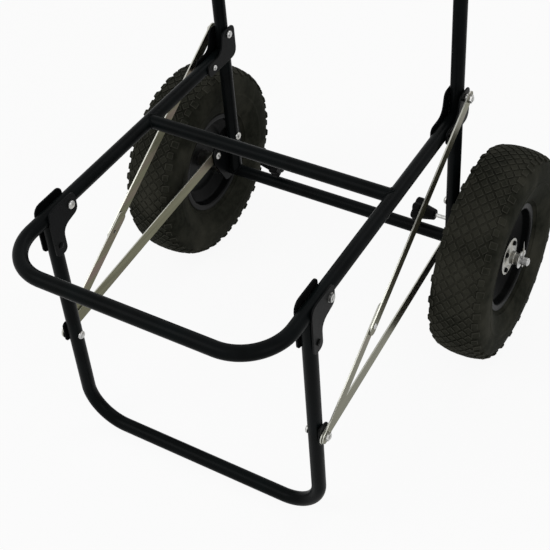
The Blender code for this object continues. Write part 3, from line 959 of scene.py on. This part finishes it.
@dataclass
class Fasteners:
    """The bolts with domed heads and hexagon nuts, gathered into one piece for each body."""

    large_r: float = 0.0078
    large_t: float = 0.0050
    small_r: float = 0.0056
    small_t: float = 0.0036
    low_t: float = 0.0022
    nut_height: float = 1.25
    washer_t: float = 0.0025
    spacer_t: float = 0.0065
    turn_step: float = math.radians(17)
    rivet_shank: float = 0.0022
    flange_nuts: int = 4
    flange_ring: float = 0.0270
    flange_t: float = 0.0032
    flange_nut_grow: float = 0.66
    rim_t: float = 0.0007
    sides: int = 24

    HEX_FROM: ClassVar[float] = 0.0010
    HEX_SHARE: ClassVar[float] = 0.9
    SMALL: ClassVar[tuple[str, ...]] = ("rail_end_bolt", "leg_top_bolt")
    PAINTED: ClassVar[tuple[str, ...]] = ("leg_top_bolt",)
    PLACES: ClassVar[dict[str, tuple[str, ...]]] = {
        "handle_frame": ("foot_bolt", "strap_bolt", "bed_pivot_bolt"),
        "bed": ("rail_end_bolt", "leg_pivot_bolt"),
        "leg": ("leg_top_bolt", "brace_bolt"),
    }

    def build(self) -> None:
        """Makes each body's bolts and the knee rivets."""
        shapes = {kind: self._template(kind) for kind in Fixing}
        trees = {kind: self._tree(kind, shapes[kind], ZINC_BRIGHT) for kind in Fixing}
        dark = {kind: self._tree(kind, shapes[kind], PLATE_BLACK) for kind in (Fixing.DOME, Fixing.NUT)}
        for body, stems in self.PLACES.items():
            nodes = [f"{side.word}_{stem}" for side in Side for stem in stems]
            bright = [node for node in nodes if not node.endswith(self.PAINTED)]
            painted = [node for node in nodes if node.endswith(self.PAINTED)]
            self._set(f"{body}_bolts", body, bright, trees, ZINC_BRIGHT)
            if painted:
                self._set(f"{body}_painted_bolts", body, painted, dark, PLATE_BLACK)
        for side in Side:
            self._rivet(side, f"{side.word}_knee_rivet", trees)
            self._flange_nuts(side, dark[Fixing.NUT])
        for shape in shapes.values():
            bpy.data.objects.remove(shape)

    def _set(
        self, name: str, body: str, nodes: Sequence[str], trees: dict[Fixing, NodeTree], finish: Finish
    ) -> None:
        """Bolts of one body and finish, as a piece of heads and a piece of nuts.

        Args:
            name: the start of the pieces' names.
            body: the body that they ride on.
            nodes: the CAD bolts that they stand for.
            trees: the scatter trees by kind of fastener.
            finish: their finish.
        """
        heads, nuts, collars = [], [], []
        for node in nodes:
            low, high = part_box(node)
            outward = ACROSS if low.x > 0 else -ACROSS
            centre = Vector((0.0, (low.y + high.y) / 2, (low.z + high.z) / 2))
            near, far = sorted((abs(low.x), abs(high.x)))
            small = node.endswith(self.SMALL)
            thick = self.small_t if small else self.large_t
            if node.endswith(self.PAINTED):
                thick = self.low_t
            grow = self.small_r / self.large_r if small else 1.0
            turn = self.turn_step * len(heads)
            along = Vector((0, math.cos(turn), math.sin(turn)))
            spread = Vector((grow, grow, thick / self.large_t))
            seat = far - thick * self.nut_height
            heads.append(Spot(centre + outward * (near + thick), -outward, along, spread))
            nuts.append(Spot(centre + outward * seat, outward, along, spread))
            if node.endswith("bed_pivot_bolt"):
                seat -= self.washer_t + self.spacer_t
                collars.append(Spot(centre + outward * seat, outward, along))
        piece = scattered(f"{name}_heads", heads, trees[Fixing.DOME], {"Grow": 1.0})
        enlist(piece, body, finish, *nodes)
        for word, spots, kind in (("nuts", nuts, Fixing.NUT), ("spacers", collars, Fixing.SPACER)):
            if spots:
                enlist(scattered(f"{name}_{word}", spots, trees[kind], {"Grow": 1.0}), body, finish)

    def _rivet(self, side: Side, node: str, trees: dict[Fixing, NodeTree]) -> None:
        """The rivet at the knee of one brace.

        Args:
            side: the brace's side.
            node: the CAD rivet that it stands for.
            trees: the scatter trees by kind of fastener.
        """
        low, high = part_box(node)
        centre = (low + high) / 2
        near, far = sorted((abs(low.x), abs(high.x)))
        grow = (high.y - low.y) / 2 / self.large_r
        thick = (far - near - self.rivet_shank) / self.large_t
        seat = Vector((side.value * (near + self.rivet_shank), centre.y, centre.z))
        spot = Spot(seat, ACROSS * side.value, ALONG, Vector((grow, grow, thick)))
        piece = scattered(f"{node}_head", [spot], trees[Fixing.DOME], {"Grow": 1.0})
        enlist(piece, f"{side.word}_upper_link", ZINC_BRIGHT, node)

    def _flange_nuts(self, side: Side, tree: NodeTree) -> None:
        """The dark nuts that hold one wheel's rim to its hub flange.

        Args:
            side: the wheel's side.
            tree: the scatter tree of the nuts.
        """
        low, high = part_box(f"{side.word}_hub_flange")
        centre = (low + high) / 2
        seat = min(abs(low.x), abs(high.x)) + self.flange_t
        spots = []
        for k in range(self.flange_nuts):
            angle = math.tau * (k + 0.5) / self.flange_nuts
            out = Vector((0, math.cos(angle), math.sin(angle)))
            at = Vector((side.value * seat, centre.y, centre.z)) + out * self.flange_ring
            spots.append(Spot(at, ACROSS * side.value, out))
        piece = scattered(f"{side.word}_flange_nuts", spots, tree, {"Grow": self.flange_nut_grow})
        enlist(piece, f"{side.word}_wheel", PLATE_BLACK)

    def _template(self, kind: Fixing) -> bpy.types.Object:
        """The shape of one fastener, standing on Z at the origin.

        Args:
            kind: the kind of fastener.

        Returns:
            The new object, which is removed once the trees have run.
        """
        hexagon = math.pi / 3
        shape = bmesh.new()
        rings = []
        for z, radius in self._profile(kind):
            flat = kind is Fixing.NUT and self.HEX_FROM < z <= self.large_t * self.HEX_SHARE
            ring = []
            for k in range(self.sides):
                angle = math.tau * k / self.sides
                grown = radius
                if flat:
                    grown /= math.cos((angle + hexagon / 2) % hexagon - hexagon / 2)
                ring.append(shape.verts.new((grown * math.cos(angle), grown * math.sin(angle), z)))
            rings.append(ring)
        skin(shape, rings)
        return add_mesh(f"{kind.value}_shape", shape, ZINC_BRIGHT, sharp=28.0)

    def _profile(self, kind: Fixing) -> list[Pair]:
        """The half section of one fastener, from its seat to its top.

        Args:
            kind: the kind of fastener.

        Returns:
            The (height, radius) rows.
        """
        r, t, rim = self.large_r, self.large_t, self.rim_t
        if kind is Fixing.DOME:
            angles = [math.radians(11.0 * step) for step in range(1, 9)]
            dome = [(rim + (t - rim) * math.sin(angle), r * math.cos(angle)) for angle in angles]
            return [(-0.0006, r * 0.5), (-0.0006, r), (rim, r), *dome]
        if kind is Fixing.SPACER:
            end = self.spacer_t
            sleeve = [(0.0, r * 0.5), (0.0, r), (end, r), (end, r * 0.5)]
            return softened(sleeve, radius=0.0006, steps=2)
        washer = [(-0.0004, r * 0.5), (-0.0004, r * 1.02), (rim, r * 1.02), (0.0008, r * 0.80)]
        nut = [(0.0012, r * 0.86), (t * 0.86, r * 0.86), (t, r * 0.72), (t, r * 0.52)]
        thread = [(1.04, 0.47), (1.10, 0.51), (1.15, 0.47), (1.21, 0.50), (self.nut_height, 0.40)]
        return washer + nut + [(t * rise, r * wide) for rise, wide in thread]

    @staticmethod
    def _tree(kind: Fixing, shape: bpy.types.Object, finish: Finish) -> NodeTree:
        """The tree that puts one fastener of a finish on each point.

        Args:
            kind: the kind of fastener.
            shape: the fastener's shape.
            finish: its finish.

        Returns:
            The tree.
        """
        tree = NodeTree(f"{finish.name}_{kind.value}_set")
        tree.size("Grow", 1.0)
        info = tree.node("GeometryNodeObjectInfo")
        info.inputs["Object"].default_value = shape
        sized = tree.node("GeometryNodeTransform")
        tree.link(info.outputs["Geometry"], sized.inputs["Geometry"])
        tree.link(tree.source.outputs["Grow"], sized.inputs["Scale"])
        tree.scatter(sized.outputs["Geometry"], finish.material())
        return tree


@dataclass
class Wheel:
    """One wheel: treaded tyre, split rim, hub with its flange, and valve stem."""

    side: Side
    layout: Layout = LAYOUT
    middle_x: float = 0.336
    round_steps: int = 144
    blocks_round: int = 54
    row_gap: float = 0.0108
    block_along: float = 0.0099
    block_across: float = 0.0089
    block_rise: float = 0.0042
    block_sink: float = 0.0017
    block_taper: float = 0.86
    crown_rows: int = 3
    lug_places: Pair = (4.20, 3.95)
    lug_lengths: Pair = (0.0115, 0.0088)
    lug_rise: float = 1.15
    rim_half: float = 0.0335
    rim_r: float = 0.1075
    bead_r: float = 0.098
    sheet: float = 0.0025
    half_gap: float = 0.00015
    well_deep: float = 0.006
    eye_play: float = 0.0006
    disc_r: float = 0.078
    hub_r: float = 0.019
    hub_in: float = 0.072
    hub_out: float = 0.050
    nose_r: float = 0.0125
    bore_r: float = 0.0083
    flange_r: float = 0.037
    flange_at: float = 0.028

    SIDE_BANDS: ClassVar[int] = 5
    TOP_SHARE: ClassVar[float] = 0.95
    TOP_DRAWN: ClassVar[Point] = (0.88, 0.88, 1.0)
    # The height share and half width of the painted highlight band on each block's top edge.
    EDGE_SHARE: ClassVar[float] = 1.0 - 0.5 / SIDE_BANDS
    EDGE_BAND: ClassVar[float] = 0.0002
    CARCASS: ClassVar[tuple[Pair, ...]] = (
        (0.0331, 0.0984), (0.0336, 0.1050), (0.0350, 0.1095), (0.0392, 0.1132), (0.0412, 0.1138),
        (0.0424, 0.1150), (0.0422, 0.1166), (0.0432, 0.1184), (0.0492, 0.1310), (0.0536, 0.1460),
        (0.0549, 0.1500), (0.0554, 0.1530), (0.0549, 0.1560), (0.0552, 0.1660), (0.0536, 0.1800),
        (0.0484, 0.1925), (0.0390, 0.1996), (0.0230, 0.2038), (0.0100, 0.2051), (0.0, 0.2054),
    )

    @property
    def body(self) -> str:
        """The wheel's body."""
        return f"{self.side.word}_wheel"

    @property
    def centre(self) -> Vector:
        """The wheel's centre."""
        return Vector((self.side.value * self.middle_x, self.layout.axle_y, self.layout.axle_z))

    def build(self) -> None:
        """Makes all of the wheel's pieces."""
        self._carcass()
        self._tread()
        self._rims()
        self._hub()
        self._valve()

    def _placed(self, rows: Iterable[Pair], outward: int = 1) -> list[Pair]:
        """Rows measured from the wheel's middle plane, put at their place on the axle."""
        return [(self.side.value * (self.middle_x + outward * x), radius) for x, radius in rows]

    def _section(self) -> list[Pair]:
        """Half of the carcass section, from bead to crown."""
        return flowing(self.CARCASS, steps=4)

    def _carcass(self) -> None:
        """The tyre without its tread."""
        half = self._section()
        rows = self._placed(half) + self._placed(half[-2::-1], -1)
        name = f"{self.side.word}_tyre"
        tyre = turned(
            f"{name}_carcass", rows, self.centre, TYRE_RUBBER, self.round_steps, ring=True, sharp=50.0
        )
        enlist(tyre, self.body, TYRE_RUBBER, name)

    def _across(self, reach: float) -> tuple[Vector, Vector]:
        """A place on the section, by its distance along the rubber from the crown.

        Args:
            reach: the distance, negative on the inner half.

        Returns:
            The (x, radius) point and the outward normal there.
        """
        line = [Vector(row) for row in self._section()[::-1]]
        left = abs(reach)
        for here, there in zip(line, line[1:]):
            step = (there - here).length
            if left <= step:
                way = (there - here).normalized()
                spot = here + way * left
                normal = Vector((-way.y, way.x))
                break
            left -= step
        else:
            raise ValueError("the tread reaches past the bead")
        if normal.y < 0:
            normal = -normal
        if reach < 0:
            return Vector((-spot.x, spot.y)), Vector((-normal.x, normal.y))
        return spot, normal

    def _stud(self, reach: float, turn: float, spread: Vector) -> Spot:
        """The point of one tread block.

        Args:
            reach: how far from the crown it is, along the rubber.
            turn: its angle about the axle.
            spread: its scale.

        Returns:
            The point.
        """
        spot, normal = self._across(reach)
        outward = ACROSS * self.side.value
        radial = Vector((0, math.cos(turn), math.sin(turn)))
        stand = outward * normal.x + radial * normal.y
        at = self.centre + outward * spot.x + radial * spot.y - stand * self.block_sink
        return Spot(at, stand, Vector((0, -math.sin(turn), math.cos(turn))), spread)

    def _tread(self) -> None:
        """The diamond blocks of the crown and the lugs over both shoulders."""
        pitch = math.tau / self.blocks_round
        crown, lugs = [], []
        for row in range(-self.crown_rows, self.crown_rows + 1):
            shift = 0.5 * (row % 2)
            for k in range(self.blocks_round):
                spread = Vector((self.block_along, self.block_across, 1.0))
                crown.append(self._stud(row * self.row_gap, (k + shift) * pitch, spread))
        for edge in (-1, 1):
            for k in range(self.blocks_round):
                reach = self.row_gap * self.lug_places[k % 2]
                spread = Vector((self.block_along, self.lug_lengths[k % 2], self.lug_rise))
                lugs.append(self._stud(edge * reach, k * pitch, spread))
        tree = self._block_tree()
        for word, spots, turn in (("tread", crown, 0.0), ("lugs", lugs, math.radians(45))):
            sizes = {"Block Rise": self.block_rise, "Block Taper": self.block_taper, "Block Turn": turn}
            enlist(scattered(f"{self.side.word}_tyre_{word}", spots, tree, sizes), self.body, TYRE_RUBBER)

    def _block_tree(self) -> NodeTree:
        """The tree that stands one tapered block with an eased top on each point.

        Returns:
            The tree.
        """
        tree = NodeTree(f"{self.side.word}_tread_blocks")
        tree.size("Block Rise", self.block_rise)
        tree.size("Block Taper", self.block_taper)
        tree.size("Block Turn", 0.0)
        cone = tree.node("GeometryNodeMeshCone", fill_type="NGON")
        cone.inputs["Vertices"].default_value = 4
        cone.inputs["Side Segments"].default_value = self.SIDE_BANDS
        cone.inputs["Radius Bottom"].default_value = 1.0
        tree.link(tree.source.outputs["Block Taper"], cone.inputs["Radius Top"])
        tree.link(tree.source.outputs["Block Rise"], cone.inputs["Depth"])
        place = tree.node("GeometryNodeInputPosition")
        parts = tree.node("ShaderNodeSeparateXYZ")
        tree.link(place.outputs["Position"], parts.inputs["Vector"])
        above = tree.node("FunctionNodeCompare", data_type="FLOAT", operation="GREATER_THAN")
        tree.link(parts.outputs["Z"], above.inputs["A"])
        tree.link(tree.times(tree.source.outputs["Block Rise"], self.TOP_SHARE), above.inputs["B"])
        drawn = tree.node("ShaderNodeVectorMath", operation="MULTIPLY")
        drawn.inputs[1].default_value = self.TOP_DRAWN
        tree.link(place.outputs["Position"], drawn.inputs[0])
        eased = tree.node("GeometryNodeSetPosition")
        tree.link(cone.outputs["Mesh"], eased.inputs["Geometry"])
        tree.link(above.outputs["Result"], eased.inputs["Selection"])
        tree.link(drawn.outputs["Vector"], eased.inputs["Position"])
        # The block's eased top edge is marked for a painted highlight.
        highlighted = self._scuffs(tree, eased.outputs["Geometry"], parts.outputs["Z"])
        turn = tree.node("ShaderNodeCombineXYZ")
        tree.link(tree.source.outputs["Block Turn"], turn.inputs["Z"])
        turned_block = tree.node("GeometryNodeTransform")
        tree.link(highlighted, turned_block.inputs["Geometry"])
        tree.link(turn.outputs["Vector"], turned_block.inputs["Rotation"])
        tree.scatter(turned_block.outputs["Geometry"], TYRE_RUBBER.material())
        return tree

    @classmethod
    def _scuffs(
        cls, tree: NodeTree, block: bpy.types.NodeSocket, height: bpy.types.NodeSocket
    ) -> bpy.types.NodeSocket:
        """Marks a block's eased top edge for a painted highlight, paler than the rest.

        Args:
            tree: the tree that makes the block.
            block: the block's geometry.
            height: the field of the height above the block's foot.

        Returns:
            The marked geometry.
        """
        near = tree.node("FunctionNodeCompare", data_type="FLOAT", operation="EQUAL")
        near.inputs["Epsilon"].default_value = cls.EDGE_BAND
        tree.link(height, near.inputs["A"])
        tree.link(tree.times(tree.source.outputs["Block Rise"], cls.EDGE_SHARE), near.inputs["B"])
        mark = tree.node("GeometryNodeStoreNamedAttribute", data_type="FLOAT", domain="FACE")
        mark.inputs["Name"].default_value = PAINTED_EDGE_HIGHLIGHT
        tree.link(block, mark.inputs["Geometry"])
        tree.link(near.outputs["Result"], mark.inputs["Value"])
        return mark.outputs["Geometry"]

    def _rims(self) -> None:
        """The two pressed halves of the rim, with rolled edges."""
        face, sheet = self.half_gap, self.sheet
        eye = self.hub_r + self.eye_play
        lip = self.rim_half + sheet
        well = self.bead_r - self.well_deep
        rows = [
            (face, eye), (face, self.disc_r), (0.010, well), (0.016, self.bead_r),
            (self.rim_half, self.bead_r), (self.rim_half, self.rim_r), (lip, self.rim_r),
            (lip, self.bead_r - sheet), (0.018, self.bead_r - sheet), (0.013, well - sheet),
            (face + sheet, self.disc_r - sheet * 0.6), (face + sheet + 0.0012, self.disc_r - 0.016),
            (face + sheet, self.hub_r + 0.012), (face + sheet, eye),
        ]
        rows = softened(rows, radius=0.0045, steps=5)
        for place, outward in (("outer", 1), ("inner", -1)):
            name = f"{self.side.word}_rim_{place}"
            profile = self._placed(rows, outward)
            half = turned(f"{name}_pressing", profile, self.centre, RIM_PAINT, sides=128, ring=True)
            enlist(half, self.body, RIM_PAINT, name)

    def _hub(self) -> None:
        """The hub sleeve and the flange that carries the rim."""
        word = self.side.word
        start, end, step = -self.hub_in, self.hub_out, self.flange_at - 0.0003
        tip_r = self.nose_r - 0.0009
        rows = [
            (start, self.bore_r), (start, self.hub_r - 0.0025), (start + 0.0025, self.hub_r),
            (step, self.hub_r), (step, self.nose_r), (end - 0.0090, self.nose_r), (end - 0.0084, tip_r),
            (end - 0.0012, tip_r), (end, tip_r - 0.0012), (end, self.bore_r),
        ]
        profile = self._placed(softened(rows, radius=0.0007, steps=3))
        hub = turned(f"{word}_hub_sleeve", profile, self.centre, HUB_ZINC, sides=64, ring=True)
        enlist(hub, self.body, HUB_ZINC, f"{word}_hub")
        start, face = self.flange_at, self.flange_at + 0.003
        eye = self.nose_r + self.eye_play
        rows = [
            (start, eye), (start, self.flange_r), (face, self.flange_r), (face, self.nose_r + 0.0080),
            (face + 0.0030, self.nose_r + 0.0046), (face + 0.0040, self.nose_r + 0.0036),
            (face + 0.0040, eye),
        ]
        profile = self._placed(softened(rows, radius=0.0009, steps=3))
        flange = turned(f"{word}_hub_flange_plate", profile, self.centre, HUB_ZINC, sides=72, ring=True)
        enlist(flange, self.body, HUB_ZINC, f"{word}_hub_flange")

    def _valve(self) -> None:
        """The rubber valve stem with its cap."""
        name = f"{self.side.word}_valve_stem"
        low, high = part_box(name)
        start = min(abs(low.x), abs(high.x)) - self.middle_x
        rows = [
            (start, 0.0045), (start + 0.0040, 0.0045), (start + 0.0120, 0.0036), (start + 0.0126, 0.0030),
            (start + 0.0132, 0.0036), (start + 0.0228, 0.0034), (start + 0.0238, 0.0024),
        ]
        profile = self._placed(softened(rows, radius=0.0006, steps=2))
        stem = turned(f"{name}_rubber", profile, (low + high) / 2, VALVE_RUBBER, sides=28)
        enlist(stem, self.body, VALVE_RUBBER, name)


@dataclass
class Axle:
    """The axle rod with its washers and split pins."""

    layout: Layout = LAYOUT
    rod_r: float = 0.008
    tip_r: float = 0.0052
    tip_length: float = 0.0022
    washer_play: float = 0.0003
    pin_r: float = 0.0015
    eye_r: float = 0.00416
    eye_lift: float = 0.004
    eye_steps: int = 32
    eye_start: float = 0.70
    eye_turn: float = 1.70

    def build(self) -> None:
        """Makes the rod and what keeps the wheels on."""
        centre = Vector((0, self.layout.axle_y, self.layout.axle_z))
        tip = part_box("axle_shaft")[1].x
        full = tip - self.tip_length
        rows = [(-tip, self.tip_r), (-full, self.rod_r), (full, self.rod_r), (tip, self.tip_r)]
        rows = softened(rows, radius=0.0008, steps=3)
        rod = turned("axle_rod", rows, centre, ZINC_BRIGHT, sides=48)
        enlist(rod, "handle_frame", ZINC_BRIGHT, "axle_shaft")
        for side in Side:
            self._washer(side, centre)
            self._pin(side)

    def _washer(self, side: Side, centre: Vector) -> None:
        """The washer at one end of the axle.

        Args:
            side: the end's side.
            centre: a point of the axle's line.
        """
        name = f"{side.word}_axle_washer"
        low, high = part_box(name)
        outer = (high.z - low.z) / 2
        bore = self.rod_r + self.washer_play
        rows = [(low.x, bore), (low.x, outer), (high.x, outer), (high.x, bore)]
        rows = softened(rows, radius=0.0006, steps=3)
        washer = turned(f"{name}_ring", rows, centre, ZINC_BRIGHT, sides=56, ring=True)
        enlist(washer, "handle_frame", ZINC_BRIGHT, name)

    def _pin(self, side: Side) -> None:
        """The split pin at one end of the axle: an eye above and a leg through the rod.

        Args:
            side: the end's side.
        """
        name = f"{side.word}_split_pin"
        low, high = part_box(name)
        x = (low.x + high.x) / 2
        lay = self.layout
        eye = Vector((x, lay.axle_y + self.eye_r, lay.axle_z + self.rod_r + self.eye_r + self.eye_lift))
        path = []
        for i in range(self.eye_steps + 1):
            angle = math.pi * (self.eye_start - self.eye_turn * i / self.eye_steps)
            path.append(eye + Vector((0, math.cos(angle), math.sin(angle))) * self.eye_r)
        path.append(Vector((x, lay.axle_y, low.z)))
        pin = swept(f"{name}_wire", path, ACROSS, self.pin_r, ZINC_BRIGHT, sides=14)
        enlist(pin, "handle_frame", ZINC_BRIGHT, name)


@dataclass
class HandScrew:
    """One star-headed hand screw with its zinc stud."""

    side: Side
    layout: Layout = LAYOUT
    height: float = 0.254
    head_r: float = 0.0248
    head_deep: float = 0.018
    hub_deep: float = 0.027
    stud_r: float = 0.0040
    stud_sink: float = 0.004
    root_share: float = 0.90
    thread: float = 0.00125
    lobes: int = 6
    lobe_depth: float = 0.27
    lobe_power: float = 1.3
    lobe_reach: float = 0.0012
    lobe_fade: float = 0.0024

    def build(self) -> None:
        """Makes the knob and its stud."""
        name = f"{self.side.word}_hand_screw"
        low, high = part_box(name)
        centre = Vector((0, self.layout.axle_y, self.height))
        face, tip = sorted((abs(low.x), abs(high.x)))
        back = face + self.head_deep
        neck = back + self.hub_deep
        rows = self._knob(face, back, neck)
        knob = turned(f"{name}_knob", rows, centre, KNOB_BLACK, sides=120, section=self._star(back))
        enlist(knob, name, KNOB_BLACK, name)
        stud = turned(f"{name}_stud", self._stud(neck, tip), centre, ZINC_BRIGHT, sides=24, sharp=70.0)
        enlist(stud, name, ZINC_BRIGHT)

    def _knob(self, face: float, back: float, neck: float) -> list[Pair]:
        """The knob's profile.

        Args:
            face: where its face is, from the cart's middle.
            back: where its star ends.
            neck: where its hub ends.

        Returns:
            The (x, radius) rows.
        """
        shares = [
            (face + 0.0016, 0.30), (face + 0.0006, 0.45), (face, 0.80), (face + 0.0030, 1.0),
            (back - 0.0035, 1.0), (back, 0.88), (back + 0.0006, 0.64), (neck - 0.0012, 0.43), (neck, 0.38),
        ]
        rows = softened([(x, share * self.head_r) for x, share in shares], radius=0.0024, steps=4)
        return [(self.side.value * x, radius) for x, radius in rows]

    def _star(self, back: float) -> Callable[[float, float], float]:
        """The star shape of the knob's head.

        Args:
            back: where the star ends.

        Returns:
            The factor on the radius by (x, angle), which is one past the head.
        """
        limit = back + self.lobe_reach

        def lobe(x: float, angle: float) -> float:
            """The factor on the radius at one place.

            Args:
                x: the place along the screw.
                angle: the angle about it.

            Returns:
                The factor.
            """
            share = min(max((limit - abs(x)) / self.lobe_fade, 0.0), 1.0)
            hollow = (0.5 - 0.5 * math.cos(self.lobes * angle)) ** self.lobe_power
            return 1.0 - share * self.lobe_depth * hollow

        return lobe

    def _stud(self, neck: float, tip: float) -> list[Pair]:
        """The threaded stud's profile.

        Args:
            neck: where it leaves the knob.
            tip: where it ends.

        Returns:
            The (x, radius) rows.
        """
        root = self.stud_r * self.root_share
        rows = [(neck - self.stud_sink, root)]
        for k in range(int((tip - neck) / self.thread)):
            start = neck + k * self.thread
            rows += [(start, root), (start + self.thread / 2, self.stud_r)]
        rows += [(tip - 0.0004, self.stud_r * 0.86), (tip, self.stud_r * 0.70)]
        return [(self.side.value * x, radius) for x, radius in rows]


@dataclass
class HandleGrip:
    """The foam sleeve on the handle's top bar."""

    layout: Layout = LAYOUT
    roll: float = 0.004
    play: float = 0.0002
    end_step: float = 0.0006
    skin_step: float = 0.0004
    stations: int = 56

    RIPPLES: ClassVar[tuple[Point, ...]] = ((0.00022, 1.7, 0.0), (0.00016, 0.63, 1.0))

    def build(self) -> None:
        """Makes the sleeve, with rolled ends and a slightly uneven skin."""
        low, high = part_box("handle_grip")
        outer = (high.z - low.z) / 2
        bore = self.layout.tube_r + self.play
        half = high.x
        rows = [(-half, bore), (-half, outer - self.end_step)]
        for i in range(self.stations + 1):
            x = -half + self.roll + (half - self.roll) * 2 * i / self.stations
            ripple = sum(height * math.sin(i * pace + start) for height, pace, start in self.RIPPLES)
            rows.append((x, outer - self.skin_step + ripple))
        rows += [(half, outer - self.end_step), (half, bore)]
        centre = Vector((0, self.layout.axle_y, self.layout.handle_z))
        rows = softened(rows, radius=self.roll, steps=4)
        sleeve = turned("handle_grip_foam", rows, centre, GRIP_FOAM, sides=56, ring=True)
        enlist(sleeve, "handle_frame", GRIP_FOAM, "handle_grip")


@dataclass(frozen=True)
class Lamp:
    """One soft area lamp."""

    name: str
    at: Point
    aim: Point
    wide: float
    watts: float


@dataclass
class Studio:
    """The pale floor, the soft light and the camera at the photograph's angle."""

    aim: Point = (0.0, -0.184866, 0.250)
    azimuth: float = 31.65
    elevation: float = 39.28
    roll: float = -3.73
    focal_px: float = 1196.33
    slide: Pair = (0.12919, 0.25055)
    distance: float = 2.12214
    lens_centre: Pair = (300.0, 182.0)
    floor_z: float = -0.0006
    floor_half: float = 14.0
    floor_tone: float = 0.82
    floor_glow: float = 0.92
    sky: float = 0.42
    sensor_mm: float = 36.0
    sight: float = 100.0
    lamps: tuple[Lamp, ...] = (
        Lamp("key_lamp", (-1.6, -2.2, 3.0), (0.0, 0.0, 0.3), 2.2, 34.0),
        Lamp("fill_lamp", (2.8, -1.2, 2.0), (0.0, 0.0, 0.3), 2.0, 16.0),
        Lamp("back_lamp", (0.6, 2.6, 2.8), (0.0, 0.0, 0.4), 2.0, 18.0),
    )

    def build(self) -> None:
        """Sets the stage."""
        bpy.context.scene.view_settings.view_transform = "Standard"
        self._floor()
        self._sky()
        for lamp in self.lamps:
            self._lamp(lamp)
        self._camera()

    @staticmethod
    def _seen(tree: bpy.types.NodeTree) -> bpy.types.NodeSocket:
        """One for rays from the camera, mirrors and glass, and zero for the rest.

        Args:
            tree: the tree of the floor or the sky.

        Returns:
            The value.
        """
        path = tree.nodes.new("ShaderNodeLightPath")
        seen = path.outputs["Is Camera Ray"]
        for ray in ("Is Glossy Ray", "Is Transmission Ray"):
            either = tree.nodes.new("ShaderNodeMath")
            either.operation = "MAXIMUM"
            tree.links.new(seen, either.inputs[0])
            tree.links.new(path.outputs[ray], either.inputs[1])
            seen = either.outputs["Value"]
        return seen

    def _floor(self) -> None:
        """The floor, near white to the eye, which keeps a faint shadow."""
        shape = bmesh.new()
        half = self.floor_half
        corners = [(-half, -half), (half, -half), (half, half), (-half, half)]
        shape.faces.new([shape.verts.new((x, y, self.floor_z)) for x, y in corners])
        mesh = bpy.data.meshes.new("studio_floor")
        shape.to_mesh(mesh)
        shape.free()
        mesh.materials.append(self._floor_paint())
        floor = shown("studio_floor", mesh)

    def _floor_paint(self) -> bpy.types.Material:
        """A matt white that glows to the eye and in mirrors.

        Returns:
            The floor's material.
        """
        material = bpy.data.materials.new("floor_white")
        material.use_nodes = True
        tree = material.node_tree
        tree.nodes.clear()
        matt = tree.nodes.new("ShaderNodeBsdfDiffuse")
        matt.inputs["Color"].default_value = (*(self.floor_tone,) * 3, 1.0)
        glow = tree.nodes.new("ShaderNodeEmission")
        glow.inputs["Strength"].default_value = 1.0
        share = tree.nodes.new("ShaderNodeMath")
        share.operation = "MULTIPLY"
        share.inputs[1].default_value = self.floor_glow
        tree.links.new(self._seen(tree), share.inputs[0])
        mix = tree.nodes.new("ShaderNodeMixShader")
        tree.links.new(share.outputs["Value"], mix.inputs["Fac"])
        tree.links.new(matt.outputs["BSDF"], mix.inputs[1])
        tree.links.new(glow.outputs["Emission"], mix.inputs[2])
        out = tree.nodes.new("ShaderNodeOutputMaterial")
        tree.links.new(mix.outputs["Shader"], out.inputs["Surface"])
        return material

    def _sky(self) -> None:
        """The white surround."""
        world = bpy.data.worlds.new("studio_sky")
        bpy.context.scene.world = world
        world.use_nodes = True
        tree = world.node_tree
        back = tree.nodes["Background"]
        back.inputs["Color"].default_value = (1.0, 1.0, 1.0, 1.0)
        span = tree.nodes.new("ShaderNodeMapRange")
        span.inputs["To Min"].default_value = self.sky
        span.inputs["To Max"].default_value = 1.0
        tree.links.new(self._seen(tree), span.inputs["Value"])
        tree.links.new(span.outputs["Result"], back.inputs["Strength"])

    @staticmethod
    def _lamp(lamp: Lamp) -> None:
        """Hangs one lamp.

        Args:
            lamp: the lamp.
        """
        data = bpy.data.lights.new(lamp.name, "AREA")
        data.shape = "DISK"
        data.size = lamp.wide
        data.energy = lamp.watts
        made = shown(lamp.name, data)
        made.location = lamp.at
        way = Vector(lamp.aim) - Vector(lamp.at)
        made.rotation_euler = way.to_track_quat("-Z", "Y").to_euler()

    def _camera(self) -> None:
        """Stands the camera where the photograph was taken from."""
        az, el, roll = (math.radians(v) for v in (self.azimuth, self.elevation, self.roll))
        back = Vector((math.sin(az) * math.cos(el), -math.cos(az) * math.cos(el), math.sin(el)))
        level = Vector((math.cos(az), math.sin(az), 0.0))
        rise = back.cross(level)
        right = level * math.cos(roll) + rise * math.sin(roll)
        up = rise * math.cos(roll) - level * math.sin(roll)
        at = Vector(self.aim) + back * self.distance + right * self.slide[0] + up * self.slide[1]
        data = bpy.data.cameras.new("photo_camera")
        data.sensor_width = self.sensor_mm
        data.lens = self.focal_px / PHOTO_PX * self.sensor_mm
        data.shift_x = (PHOTO_PX / 2 - self.lens_centre[0]) / PHOTO_PX
        data.shift_y = (self.lens_centre[1] - PHOTO_PX / 2) / PHOTO_PX
        data.clip_end = self.sight
        camera = shown("photo_camera", data)
        turn = Matrix((right, up, back)).transposed().to_4x4()
        camera.matrix_world = Matrix.Translation(at) @ turn
        bpy.context.scene.camera = camera


def main() -> None:
    """Builds every sub-assembly in order and sets the stage."""
    parts = [TubeFrame(), WeldSeams(), FlatSteel(), Fasteners(), Axle(), HandleGrip()]
    parts += [Wheel(side) for side in Side]
    parts += [HandScrew(side) for side in Side]
    for part in parts:
        log.info("building %s", type(part).__name__)
        part.build()
    Studio().build()


if __name__ == "__main__":
    main()
